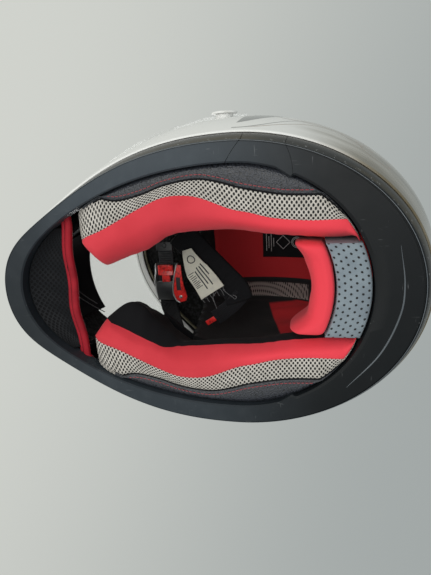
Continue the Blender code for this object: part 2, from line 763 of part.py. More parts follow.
def make_cheek_pads(parts, mats):
    """A pad on each side, from the trim's opening to the face, with chamfered corners."""
    for side, word in ((1, "left"), (-1, "right")):
        loops = []
        for i in range(PAD_STATIONS):
            y, section = pad_section(i / (PAD_STATIONS - 1))
            loops.append([(side * x, y, z) for x, z in section])
        add_mesh("cheek_pad_" + word, *closed_loft(loops), parts, mats["red_fabric"])


def roll_y(x, depth):
    """The neck roll's curve: it bows to the rear in the middle."""
    return ROLL_INNER_Y + depth - ROLL_SAG * (x / ROLL_HALF_WIDTH) ** 2


def make_neck_roll(parts, mats):
    """The padded roll and, behind it, the mesh panel that runs to the trim."""
    columns = 9
    roll, panel = [], []
    for j in range(columns):
        x = ROLL_HALF_WIDTH * (2 * j / (columns - 1) - 1)
        near, far = roll_y(x, 0.0), roll_y(x, ROLL_DEPTH)
        seam = far + ROLL_SEAM
        rear = trim_rear_y(x)
        low, high = ROLL_BOTTOM, ROLL_TOP
        roll.append([
            (x, near, low + ROLL_NEAR_EDGE), (x, near + 0.6 * ROLL_NEAR_EDGE, low + 0.25 * ROLL_NEAR_EDGE),
            (x, far - ROLL_FAR_EDGE, low), (x, far, low + ROLL_FAR_EDGE), (x, far, high),
            (x, near + ROLL_TOP_EDGE, high), (x, near, high - ROLL_NEAR_EDGE),
        ])
        panel.append([
            (x, seam, low + 2 * ROLL_SEAM), (x, rear, low - ROLL_SEAM), (x, rear, high), (x, seam, high),
        ])
    add_mesh("neck_roll", *closed_loft(roll), parts, mats["red_fabric"])
    add_mesh("neck_panel", *closed_loft(panel), parts, mats["grey_fabric"])


def trim_rear_y(x):
    """Where the trim's opening ends at the rear, with the pads' clearance."""
    low, high = math.pi / 2, math.pi
    for _ in range(40):
        middle = (low + high) / 2
        if trim_inner(middle, -PAD_CLEARANCE)[0] > abs(x):
            low = middle
        else:
            high = middle
    return trim_inner(high, -PAD_CLEARANCE)[1]


def curtain_edge(x):
    return CURTAIN_EDGE_Y + CURTAIN_BOW * (x / CURTAIN_HALF_WIDTH) ** 2


def trim_front_y(x):
    """Where the trim's opening ends at the chin, with the pads' clearance."""
    low, high = 0.0, math.pi / 2
    for _ in range(40):
        middle = (low + high) / 2
        if trim_inner(middle, -PAD_CLEARANCE)[0] < abs(x):
            low = middle
        else:
            high = middle
    return trim_inner(low, -PAD_CLEARANCE)[1]


def make_curtain(parts, mats):
    """A crescent of mesh across the chin, with piping along its free edge, and the breath guard over it."""
    columns, rows = 15, 4
    points = []
    for i in range(rows):
        for j in range(columns):
            x = CURTAIN_HALF_WIDTH * (2 * j / (columns - 1) - 1)
            start, end = trim_front_y(x), curtain_edge(x) - PIPING_RADIUS - 2 * GAP
            share = i / (rows - 1)
            y = start + (end - start) * share
            points.append((x, y, CURTAIN_OUTER_Z + (CURTAIN_INNER_Z - CURTAIN_OUTER_Z) * share))
    curtain = add_mesh("chin_curtain", points, grid_faces(rows, columns), parts, mats["black_fabric"])
    solidify(curtain, CURTAIN_WALL, 1.0)
    steps = [PIPING_HALF_WIDTH * (2 * j / 20 - 1) for j in range(21)]
    path = [(x, curtain_edge(x), CURTAIN_INNER_Z) for x in steps]
    tube("curtain_piping", path, PIPING_RADIUS, False, parts, mats["red_fabric"])
    inset = SHELL_WALL + LINER_GAP + CHIN_LINER_WALL + GUARD_GAP
    guard = patch("breath_guard", -GUARD_SPREAD, GUARD_SPREAD, GUARD_BOTTOM, GUARD_TOP, inset, 13, 3,
                  parts, mats["plastic"])
    solidify(guard, GUARD_WALL, -1.0)


def make_straps(parts, mats):
    """Both webbing straps and the rivets that anchor them."""
    up = (0.0, 0.0, 1.0)
    end = (BUCKLE_X - BUCKLE_LENGTH / 2 - STRAP_END_GAP, BUCKLE_Y, BUCKLE_Z)
    turn_in = (end[0] - RIGHT_STRAP_TAIL, BUCKLE_Y, BUCKLE_Z)
    right = [(-STRAP_END_X, STRAP_END_Y, STRAP_END_Z), *RIGHT_STRAP_BENDS, turn_in, end]
    band("chin_strap_right", smooth_path(right, 4), (up, up), RIGHT_STRAP_WIDTH, STRAP_WALL, parts,
         mats["webbing"])
    rest = (rack_end() + RACK_TRAVEL + GAP, BUCKLE_Y + LEFT_STRAP_SHIFT_Y, BUCKLE_Z + LEFT_STRAP_SHIFT_Z)
    left = [(STRAP_END_X, STRAP_END_Y, STRAP_END_Z), *LEFT_STRAP_BENDS, rest]
    band("chin_strap_left", smooth_path(left, 4), (up, up), STRAP_WIDTH, STRAP_WALL, parts, mats["webbing"])
    for side, word in ((1, "left"), (-1, "right")):
        near = side * (STRAP_END_X + ANCHOR_GAP)
        low = (near, STRAP_END_Y - STRAP_WIDTH / 2, STRAP_END_Z - ANCHOR_HEIGHT / 2)
        high = (near + side * ANCHOR_WALL, STRAP_END_Y + STRAP_WIDTH / 2, STRAP_END_Z + ANCHOR_HEIGHT / 2)
        box("strap_anchor_" + word, low, high, parts, mats["steel"])


def rack_end():
    return BUCKLE_X - BUCKLE_LENGTH / 2 + RACK_INSET + RACK_LENGTH


def make_buckle(parts, cutters, mats):
    """The buckle's channel and the toothed rack that slides in it."""
    half = Vector((BUCKLE_LENGTH, BUCKLE_WIDTH, BUCKLE_DEPTH)) / 2
    middle = Vector((BUCKLE_X, BUCKLE_Y, BUCKLE_Z))
    low, high = middle - half, middle + half
    body = box("buckle_body", low, high, parts, mats["plastic"])
    channel_low = low + Vector((BUCKLE_WALL, BUCKLE_WALL, -CUT_REACH))
    channel_high = high + Vector((CUT_REACH, -BUCKLE_WALL, -BUCKLE_WALL))
    boolean(body, as_cutter(box("buckle_channel_cutter", channel_low, channel_high, cutters)))
    floor_z = high.z - BUCKLE_WALL - GAP / 2
    rack_low = (low.x + RACK_INSET, BUCKLE_Y - RACK_WIDTH / 2, floor_z - RACK_WALL)
    rack_high = (rack_end(), BUCKLE_Y + RACK_WIDTH / 2, floor_z)
    box("ratchet_strap", rack_low, rack_high, parts, mats["plastic"])


def make_lever(parts, cutters, mats):
    """The release lever and the pin that it turns on."""
    pin_x = BUCKLE_X + LEVER_PIN_SHIFT
    pin_z = BUCKLE_Z - BUCKLE_DEPTH / 2 + LEVER_PIN_DEPTH
    reach = BUCKLE_WIDTH / 2 - BUCKLE_WALL - GAP
    cylinder("lever_pin", (pin_x, BUCKLE_Y - reach, pin_z), (pin_x, BUCKLE_Y + reach, pin_z),
             LEVER_PIN_RADIUS, parts, mats["steel"], sides=16)
    low = (pin_x - LEVER_HEEL, BUCKLE_Y - LEVER_WIDTH / 2, pin_z - LEVER_WALL)
    high = (pin_x + LEVER_LENGTH, BUCKLE_Y + LEVER_WIDTH / 2, pin_z + LEVER_WALL)
    lever = box("buckle_lever", low, high, parts, mats["red_plastic"])
    bore = cylinder(
        "lever_bore_cutter", (pin_x, BUCKLE_Y - CUT_REACH, pin_z), (pin_x, BUCKLE_Y + CUT_REACH, pin_z),
        LEVER_PIN_RADIUS + LEVER_BORE_FIT, cutters, sides=16,
    )
    boolean(lever, as_cutter(bore))


def make_sleeve(parts, mats):
    """The padded sleeve on the strap, its care tag and the red tab of the strap's end."""
    up = (0.0, 0.0, 1.0)
    band("strap_sleeve", smooth_path(SLEEVE_PATH, 4), (up, up), SLEEVE_WIDTH, SLEEVE_WALL, parts,
         mats["black_fabric"])
    band("care_tag", smooth_path(TAG_PATH, 3), (up, up), TAG_WIDTH, TAG_WALL, parts, mats["white_cloth"])
    tab_high = Vector(TAB_LOW) + Vector((TAB_LENGTH, TAB_LENGTH, TAB_WALL))
    box("strap_end_tab", TAB_LOW, tab_high, parts, mats["red_plastic"])


def main():
    clear_scene()
    parts = new_collection(COLLECTION_NAME)
    cutters = new_collection("cutters")
    mats = make_materials()
    make_shell(parts, cutters, mats)
    make_liners(parts, cutters, mats)
    make_trim(parts, cutters, mats)
    make_visor(parts, cutters, mats)
    make_chin_vent(parts, cutters, mats)
    make_crown_vent(parts, cutters, mats)
    make_exhaust(parts, mats)
    make_cheek_pads(parts, mats)
    make_neck_roll(parts, mats)
    make_curtain(parts, mats)
    make_straps(parts, mats)
    make_buckle(parts, cutters, mats)
    make_lever(parts, cutters, mats)
    make_sleeve(parts, mats)


main()
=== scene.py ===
"""Looks of a full-face motorcycle helmet: painted shell, clear visor, lining, chin curtain and strap.

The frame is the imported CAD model. +Z is the crown, -Y the chin and +X the wearer's left. Every piece here
is a surface worked out from the same size rules as the CAD part, in metres.
"""

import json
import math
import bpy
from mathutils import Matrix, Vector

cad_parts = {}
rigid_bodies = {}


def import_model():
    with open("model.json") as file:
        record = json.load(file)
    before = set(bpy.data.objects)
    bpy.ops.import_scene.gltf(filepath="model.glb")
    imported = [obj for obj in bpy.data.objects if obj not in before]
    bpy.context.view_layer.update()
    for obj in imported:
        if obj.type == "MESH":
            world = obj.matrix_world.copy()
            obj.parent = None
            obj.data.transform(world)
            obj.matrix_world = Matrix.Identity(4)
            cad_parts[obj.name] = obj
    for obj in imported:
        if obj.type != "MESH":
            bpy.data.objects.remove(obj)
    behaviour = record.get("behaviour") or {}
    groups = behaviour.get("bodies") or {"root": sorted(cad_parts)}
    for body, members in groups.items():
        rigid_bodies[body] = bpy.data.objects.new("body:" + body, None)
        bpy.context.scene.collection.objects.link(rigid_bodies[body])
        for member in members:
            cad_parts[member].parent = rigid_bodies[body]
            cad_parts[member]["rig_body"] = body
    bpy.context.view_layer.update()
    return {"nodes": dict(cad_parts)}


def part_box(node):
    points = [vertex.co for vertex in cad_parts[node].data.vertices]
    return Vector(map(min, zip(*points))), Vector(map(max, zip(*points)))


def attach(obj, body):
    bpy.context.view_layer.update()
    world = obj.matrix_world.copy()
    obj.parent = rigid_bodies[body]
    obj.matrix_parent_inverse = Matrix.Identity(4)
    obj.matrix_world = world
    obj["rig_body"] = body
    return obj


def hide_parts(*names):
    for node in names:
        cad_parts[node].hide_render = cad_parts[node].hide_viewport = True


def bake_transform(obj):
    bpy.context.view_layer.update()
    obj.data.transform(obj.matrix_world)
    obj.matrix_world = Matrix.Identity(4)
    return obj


bl_info = {
    "name": "Motorcycle helmet",
    "version": (1, 0, 0),
    "blender": (4, 5, 0),
    "location": "View3D > Sidebar > Helmet",
    "description": "Builds a detailed full-face helmet around its CAD frame",
    "category": "Object",
}

import bpy
import numpy as np
from mathutils import Matrix, Vector

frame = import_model()
SHELL_LOW, SHELL_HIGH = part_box("outer_shell")
TRIM_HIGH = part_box("base_trim")[1]
BUCKLE_LOW, BUCKLE_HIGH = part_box("buckle_body")
BUCKLE_MIDDLE_Y = (BUCKLE_LOW.y + BUCKLE_HIGH.y) / 2
LEVER_LOW, LEVER_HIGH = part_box("buckle_lever")
RACK_LOW, RACK_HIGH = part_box("ratchet_strap")

# Camera and background
VIEW_POINT = (0.0917, 0.0675, -0.300)
VIEW_AZIMUTH = math.radians(126.65)
VIEW_ELEVATION = math.radians(-70.22)
VIEW_ROLL = math.radians(34.95)
VIEW_LENS = 27.05
SHADE_DIRECTION = (-0.326, 0.939, 0.108)
SHADE_START = -0.57
SHADE_END = 0.56
FLOOR_REACH = 6.0
FLOOR_Z = -0.0008

MM = 0.001
TAU = 2 * math.pi

# Small gaps and insets
TRIM_GAP = 0.0012
COVER_SEAM = 0.0022
SEAM_GAP = 0.004
CROWN_INSET = 0.0475
GUARD_INSET = 0.0290
GUARD_HALF_ANGLE = 0.42
VENT_RISE = 0.0028
CROWN_VENT_RISE = 0.0033
THREAD_RADIUS = 0.00028

# Thickness of thin pieces
CURTAIN_WALL = 0.0012
GUARD_WALL = 0.0016
LINING_WALL = 0.006
LABEL_WALL = 0.0006
TAG_WALL = 0.0003

# Shell surface
SHELL_HALF_WIDTH = 0.131
SHELL_HEIGHT = SHELL_HIGH.z
SHELL_BOTTOM = SHELL_LOW.z
SHELL_WALL = 0.004
BASE_HALF_WIDTH = 0.1145
WIDEST_Z = 0.100
CENTRE_Y = 0.015
FRONT_REACH = 0.192
BASE_FRONT_REACH = 0.1905
FRONT_Z = 0.045
REAR_REACH = 0.162
BASE_REAR_REACH = 0.142
REAR_Z = 0.120
SIDE_POWER = 2.15
BASE_HOLLOW = 0.125
CROWN_HOLLOW = 0.02

# Trim ring
TRIM_TOP = TRIM_HIGH.z
TRIM_OUTER = (0.1083, 0.189, 0.1355)
TRIM_FLARE = (0.0045, 0.001, 0.0052)
TRIM_WIDTH = (0.0153, 0.016, 0.035)
TRIM_INNER_HOLLOW = 0.05

# Eye port, visor
PORT_HALF_WIDTH = 0.112
PORT_CENTRE_Z = 0.134
PORT_HALF_HEIGHT = 0.048
PORT_POWER = 2.6
VISOR_GAP = 0.0032
VISOR_WALL = 0.002
VISOR_OVERLAP = 0.009
VISOR_ARM = 0.015
VISOR_END = math.radians(6.5)
PIVOT_Y = -0.005
PIVOT_Z = 0.122
PIVOT_RADIUS = 0.0084
PIVOT_CAP_RADIUS = 0.012
# From the chin round to the pivot, as the shell's outline turns
PIVOT_ANGLE = math.acos((CENTRE_Y - PIVOT_Y) / FRONT_REACH)

# Vents
CHIN_VENT_HALF_WIDTH = 0.026
EXHAUST_HALF_WIDTH = 0.042
CROWN_VENT_Y = 0.030
CROWN_VENT_HALF_WIDTH = 0.024
CROWN_VENT_HALF_LENGTH = 0.032

# Chin curtain
CURTAIN_EDGE_Y = -0.119
CURTAIN_BOW = 0.003

# Pads
PAD_FRONT_Y = -0.108
PAD_REAR_Y = 0.108
PAD_TOP = 0.092
ROLL_HALF_WIDTH = 0.0355
ROLL_INNER_Y = 0.072
ROLL_SAG = 0.008
ROLL_DEPTH = 0.017


# ---------------------------------------------------------------- shape rules

def egg(size, hollow, angle):
    """Plan outline: x = width * sin(a), pinched by hollow * sin(pi cos^3 a) in front, and y = centre - reach *
    cos(a), where the reach is size[1] ahead of the centre and size[2] behind it."""
    c, s = np.cos(angle), np.sin(angle)
    pinch = 1 - hollow * np.where(c > 0, np.sin(np.pi * np.clip(c, 0, 1) ** 3), 0)
    return size[0] * s * pinch, CENTRE_Y - np.where(c > 0, size[1], size[2]) * c


def reach_at(z, base, size, full_z, inset, power):
    """A quarter sine wave from base up to size at full_z, then a superellipse down to nothing at the crown."""
    rise = np.clip((z - SHELL_BOTTOM) / (full_z - SHELL_BOTTOM), 0, 1)
    low = base + (size - base) * np.sin(rise * np.pi / 2) - inset
    fall = np.clip((z - full_z) / (SHELL_HEIGHT - inset - full_z), 0, 1)
    high = (size - inset) * (1 - fall**power) ** (1 / power)
    return np.where(z <= full_z, low, high)


def shell_surface(z, angle, inset=0.0):
    """Points of the shell's surface, moved inwards by inset: an egg at each height, with reaches from reach_at."""
    z, angle = np.broadcast_arrays(np.asarray(z, float), np.asarray(angle, float))
    size = (
        reach_at(z, BASE_HALF_WIDTH, SHELL_HALF_WIDTH, WIDEST_Z, inset, SIDE_POWER),
        reach_at(z, BASE_FRONT_REACH, FRONT_REACH, FRONT_Z, inset, 2.0),
        reach_at(z, BASE_REAR_REACH, REAR_REACH, REAR_Z, inset, SIDE_POWER),
    )
    share = np.clip((z - SHELL_BOTTOM) / (SHELL_HEIGHT - SHELL_BOTTOM), 0, 1)
    x, y = egg(size, BASE_HOLLOW + (CROWN_HOLLOW - BASE_HOLLOW) * np.sqrt(share), angle)
    return np.stack([x, y, z], -1)


def bisect(low, high, too_low, steps=40):
    """Arrays of roots between low and high by halving, for a test that is true below the root."""
    low, high = np.array(low, float), np.array(high, float)
    for _ in range(steps):
        middle = (low + high) / 2
        below = too_low(middle)
        low, high = np.where(below, middle, low), np.where(below, high, middle)
    return (low + high) / 2


def front_point(x, z, inset=0.0):
    """The point of the shell's front half at each x and z."""
    x, z = np.broadcast_arrays(np.asarray(x, float), np.asarray(z, float))
    angle = bisect(np.zeros(x.shape), np.full(x.shape, np.pi / 2),
                   lambda a: shell_surface(z, a, inset)[..., 0] < np.abs(x))
    point = shell_surface(z, angle, inset)
    point[..., 0] = np.copysign(point[..., 0], x)
    return point


def trim_outline(angle, share, flare=0.0):
    """The trim's outline, from its inner edge at share 0 to its outer edge at share 1."""
    outer = [a + flare * b for a, b in zip(TRIM_OUTER, TRIM_FLARE)]
    inner = [a - b for a, b in zip(TRIM_OUTER, TRIM_WIDTH)]
    x0, y0 = egg(inner, TRIM_INNER_HOLLOW, angle)
    x1, y1 = egg(outer, BASE_HOLLOW, angle)
    return x0 + (x1 - x0) * share, y0 + (y1 - y0) * share


def trim_inner_x(y, clearance):
    """The half-width of the trim's opening at each y."""
    y = np.asarray(y, float)
    ahead = y < CENTRE_Y
    inner = [a - b - clearance for a, b in zip(TRIM_OUTER, TRIM_WIDTH)]
    angle = bisect(np.where(ahead, 0, np.pi / 2), np.where(ahead, np.pi / 2, np.pi),
                   lambda a: egg(inner, TRIM_INNER_HOLLOW, a)[1] < y)
    return egg(inner, TRIM_INNER_HOLLOW, angle)[0]


def trim_inner_y(x, clearance, rear):
    """Where the trim's opening ends at each x, at the rear or at the chin."""
    x = np.abs(np.asarray(x, float))
    inner = [a - b - clearance for a, b in zip(TRIM_OUTER, TRIM_WIDTH)]
    if rear:
        angle = bisect(np.full(x.shape, np.pi / 2), np.full(x.shape, np.pi),
                       lambda a: egg(inner, TRIM_INNER_HOLLOW, a)[0] > x)
    else:
        angle = bisect(np.zeros(x.shape), np.full(x.shape, np.pi / 2),
                       lambda a: egg(inner, TRIM_INNER_HOLLOW, a)[0] < x)
    return egg(inner, TRIM_INNER_HOLLOW, angle)[1]


def smooth(low, high, value):
    """0 below low, 1 above high, and an S curve between them."""
    t = np.clip((value - low) / (high - low), 0, 1)
    return t * t * (3 - 2 * t)


def between(a, b, c, d, t):
    """The Catmull-Rom cubic from b at t = 0 to c at t = 1, with the slopes (c - a) / 2 and (d - b) / 2 there."""
    return 0.5 * (2 * b + (c - a) * t + (2 * a - 5 * b + 4 * c - d) * t**2 + (3 * b - a - 3 * c + d) * t**3)


def spline(points, count):
    """count points, evenly spaced in arc length, on a Catmull-Rom curve through the given ones."""
    p = np.array(points, float)
    p = np.vstack([2 * p[0] - p[1], p, 2 * p[-1] - p[-2]])
    t = np.linspace(0, 1, 24, endpoint=False)[:, None]
    runs = [between(*four, t) for four in zip(p[:-3], p[1:-2], p[2:-1], p[3:])]
    line = np.vstack(runs + [p[-2:-1]])
    length = np.concatenate([[0], np.cumsum(np.linalg.norm(np.diff(line, axis=0), axis=1))])
    at = np.linspace(0, length[-1], count)
    return np.stack([np.interp(at, length, line[:, k]) for k in range(line.shape[1])], -1)


def frames_along(path, up, cyclic=False):
    """Unit vectors along, across and up at each point of a path, with up as near as can be to the given one."""
    if cyclic:
        along = np.roll(path, -1, 0) - np.roll(path, 1, 0)
    else:
        along = np.gradient(path, axis=0)
    along /= np.linalg.norm(along, axis=1, keepdims=True)
    up = np.broadcast_to(np.asarray(up, float), path.shape)
    up = up - along * (up * along).sum(1, keepdims=True)
    up /= np.linalg.norm(up, axis=1, keepdims=True)
    return along, np.cross(along, up), up


def sweep(path, profile, up, cyclic=False):
    """A profile of (across, up) offsets carried along a path: points = path + a * across + b * up."""
    _, across, upward = frames_along(path, up, cyclic)
    profile = np.asarray(profile, float)
    if profile.ndim == 2:
        profile = np.broadcast_to(profile, (len(path), *profile.shape))
    return path[:, None] + profile[..., :1] * across[:, None] + profile[..., 1:] * upward[:, None]


def circle(radius, count, flat=1.0):
    """An ellipse as a profile: (r cos a, flat * r sin a)."""
    a = np.linspace(0, TAU, count, endpoint=False)
    return np.stack([radius * np.cos(a), radius * flat * np.sin(a)], -1)


def rounded_bar(width, height, radius, corner=5):
    """Outline of a rectangle with rounded corners, anticlockwise."""
    radius = min(radius, width / 2, height / 2)
    a = np.linspace(0, np.pi / 2, corner)
    quarter = radius * np.stack([np.cos(a), np.sin(a)], -1)
    points = []
    for k, (sx, sy) in enumerate(((1, 1), (-1, 1), (-1, -1), (1, -1))):
        turn = np.array([[math.cos(k * np.pi / 2), math.sin(k * np.pi / 2)],
                         [-math.sin(k * np.pi / 2), math.cos(k * np.pi / 2)]])
        points.append(quarter @ turn + [sx * (width / 2 - radius), sy * (height / 2 - radius)])
    return np.vstack(points)


# ---------------------------------------------------------------- mesh building

# How a bar of rings is closed: each ring is joined round, and both ends are capped
CAPPED = ((False, True), (True, True))


class Patch:
    """Faces on a grid of points: quads between neighbours, joined round where wrap says (rows, columns), and
    fans that close the first and last row where caps says. kind is a finish number, one or one for each quad.
    A closed patch is turned to face out of its middle, and an open one to the facing direction if it is given."""

    def __init__(self, points, wrap=(False, False), caps=(False, False), kind=0, uv=None, facing=None):
        rows, columns = points.shape[:2]
        spans = (np.arange(count - (not joined)) for count, joined in zip((rows, columns), wrap))
        row, column = np.meshgrid(*spans, indexing="ij")
        row2, column2 = (row + 1) % rows, (column + 1) % columns
        self.quads = np.stack([row * columns + column, row * columns + column2,
                               row2 * columns + column2, row2 * columns + column], -1).reshape(-1, 4)
        self.points = points.reshape(-1, 3)
        fans = [np.empty((0, 3), int)]
        for at, capped in ((0, caps[0]), (rows - 1, caps[1])):
            if capped:
                ring = at * columns + np.arange(columns)
                pair = (np.roll(ring, -1), ring) if at == 0 else (ring, np.roll(ring, -1))
                fans.append(np.stack([*pair, np.full(columns, len(self.points))], -1))
                self.points = np.vstack([self.points, points[at].mean(0)])
        self.fans = np.vstack(fans)
        self.kinds = np.broadcast_to(kind, row.shape).ravel()
        self.uv = np.zeros((len(self.quads), 4, 2))
        if uv is not None:
            self.uv = np.stack([uv[row, column], uv[row, column + 1], uv[row + 1, column + 1],
                                uv[row + 1, column]], -2).reshape(-1, 4, 2)
        if self.side(facing) < 0:
            self.quads, self.fans, self.uv = self.quads[:, ::-1], self.fans[:, ::-1], self.uv[:, ::-1]

    def side(self, facing):
        """Above zero where the faces point outwards: the signed volume, or the area seen from one direction."""
        corners = self.points[np.vstack([self.quads[:, :3], self.quads[:, [0, 2, 3]], self.fans])]
        if facing is None:
            return np.linalg.det(corners - self.points.mean(0)).sum()
        return (np.cross(corners[:, 1] - corners[:, 0], corners[:, 2] - corners[:, 0]) @ facing).sum()

    def open_up(self, inside, snap):
        """Takes away the quads whose middle is inside, and moves the points of the new edge by snap."""
        gone = inside(self.points[self.quads].mean(1))
        edge = np.intersect1d(self.quads[gone], self.quads[~gone])
        self.points = self.points.copy()
        self.points[edge] = snap(self.points[edge])
        self.quads, self.kinds, self.uv = self.quads[~gone], self.kinds[~gone], self.uv[~gone]
        return self

    def repeated(self, places, turns):
        """The patch copied to each place, with each copy's axes as the columns of its turn."""
        count, size = len(places), len(self.points)
        self.points = (places[:, None] + np.einsum("nij,pj->npi", turns, self.points)).reshape(-1, 3)
        shift = np.arange(count)[:, None, None] * size
        self.quads = (self.quads[None] + shift).reshape(-1, 4)
        self.fans = (self.fans[None] + shift).reshape(-1, 3)
        self.kinds = np.tile(self.kinds, count)
        self.uv = np.tile(self.uv, (count, 1, 1))
        return self


def piece(name, patches, finishes, body="shell", replaces=(), crease=50):
    """One smooth-shaded mesh object of some patches, riding on a body and standing for some CAD nodes."""
    patches = patches if isinstance(patches, list) else [patches]
    faces, kinds, coords, base = [], [], [], 0
    for patch in patches:
        faces += (patch.quads + base).tolist() + (patch.fans + base).tolist()
        kinds += [patch.kinds, np.zeros(len(patch.fans), int) + patch.kinds[:1]]
        coords += [patch.uv.reshape(-1, 2), np.zeros((3 * len(patch.fans), 2))]
        base += len(patch.points)
    points = np.vstack([patch.points for patch in patches])
    used, index = np.unique(np.concatenate(faces), return_inverse=True)
    starts = np.cumsum([0] + [len(face) for face in faces])
    faces = [index[a:b].tolist() for a, b in zip(starts, starts[1:])]
    mesh = bpy.data.meshes.new(name)
    mesh.from_pydata(points[used].tolist(), [], faces)
    for finish in finishes:
        mesh.materials.append(FINISHES[finish]())
    mesh.polygons.foreach_set("material_index", np.concatenate(kinds).astype(np.int32))
    mesh.uv_layers.new(name="UVMap").data.foreach_set("uv", np.vstack(coords).astype(np.float32).ravel())
    mesh.shade_smooth()
    mesh.set_sharp_from_angle(angle=math.radians(crease))
    obj = bpy.data.objects.new(name, mesh)
    bpy.context.scene.collection.objects.link(obj)
    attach(obj, body)
    if replaces:
        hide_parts(*replaces)
    return obj


def lengths_uv(points, wrap_columns=False):
    """UVs in metres: the mean lengths along the rows and along the columns of a grid."""
    grid = np.concatenate([points, points[:, :1]], 1) if wrap_columns else points
    along = np.linalg.norm(np.diff(grid, axis=0), axis=2).mean(1)
    across = np.linalg.norm(np.diff(grid, axis=1), axis=2).mean(0)
    u, v = (np.concatenate([[0], np.cumsum(steps)]) for steps in (along, across))
    return np.stack(np.meshgrid(u, v, indexing="ij"), -1)


def tube(path, profile, up=(0, 0, 1), closed=False, kind=0, uv=True):
    """A closed patch with one profile carried along a path, its ends capped unless the path is closed."""
    points = sweep(path, profile, up, closed)
    coords = lengths_uv(points, True) if uv and not closed else None
    return Patch(points, (closed, True), (not closed, not closed), kind, coords)


def slab(low, high, edge):
    """A box with rounded upright edges and softened top and bottom: a rounded outline shrunk by a quarter
    circle."""
    low, high = np.array(low, float), np.array(high, float)
    middle, size = (low + high) / 2, high - low
    turn = np.linspace(0, np.pi / 2, 4)
    inset = np.concatenate([edge * (1 - np.sin(turn)), edge * (1 - np.cos(turn))])
    height = np.concatenate([low[2] + edge * (1 - np.cos(turn)), high[2] - edge * (1 - np.sin(turn))])
    rings = []
    for shrink, z in zip(inset, height):
        ring = rounded_bar(size[0] - 2 * shrink, size[1] - 2 * shrink, 1.5 * edge)
        rings.append(np.column_stack([ring + middle[:2], np.full(len(ring), z)]))
    return Patch(np.array(rings), *CAPPED)


def turned(radii, heights, place, axis, sides=48, kind=0):
    """A turned patch: circles of the given radii at the given heights along an axis from a place."""
    axis = Vector(axis).normalized()
    turn = np.array(axis.to_track_quat("Z", "Y").to_matrix())
    a = np.linspace(0, TAU, sides, endpoint=False)
    ring = np.stack([np.cos(a), np.sin(a), np.zeros(sides)], -1)
    points = np.asarray(radii)[:, None, None] * ring + np.asarray(heights)[:, None, None] * [0, 0, 1]
    return Patch(points @ turn.T + np.asarray(place), *CAPPED, kind)


def solidify(obj, wall, offset=-1.0):
    """Gives a sheet its wall: behind its faces at offset -1, and in front of them at 1."""
    modifier = obj.modifiers.new("wall", "SOLIDIFY")
    modifier.thickness = wall
    modifier.offset = offset
    modifier.use_even_offset = True


# ---------------------------------------------------------------- materials

class Value:
    """A number socket that Python's operators turn into Math nodes."""

    def __init__(self, finish, socket):
        self.finish = finish
        self.socket = socket

    def math(self, operation, *others):
        """The result of one Math node, fed with this value and the others."""
        node = self.finish.node("ShaderNodeMath", {"operation": operation})
        for slot, value in zip(node.inputs, (self, *others)):
            self.finish.feed(slot, value)
        return Value(self.finish, node.outputs[0])

    def __add__(self, other):
        return self.math("ADD", other)

    __radd__ = __add__

    def __sub__(self, other):
        return self.math("SUBTRACT", other)

    def __rsub__(self, other):
        return (self * -1.0) + other

    def __mul__(self, other):
        return self.math("MULTIPLY", other)

    __rmul__ = __mul__

    def __truediv__(self, other):
        return self.math("DIVIDE", other)

    def sin(self):
        return self.math("SINE")

    def abs(self):
        return self.math("ABSOLUTE")

    def sqrt(self):
        return self.math("SQRT")

    def floor(self):
        return self.math("FLOOR")

    def fract(self):
        return self.math("FRACT")

    def most(self, other):
        return self.math("MAXIMUM", other)

    def step(self, low, high):
        """An S curve from 0 at low to 1 at high."""
        node = self.finish.node("ShaderNodeMapRange", {"interpolation_type": "SMOOTHSTEP"})
        for slot, value in zip(node.inputs, (self, low, high)):
            self.finish.feed(slot, value)
        return Value(self.finish, node.outputs[0])


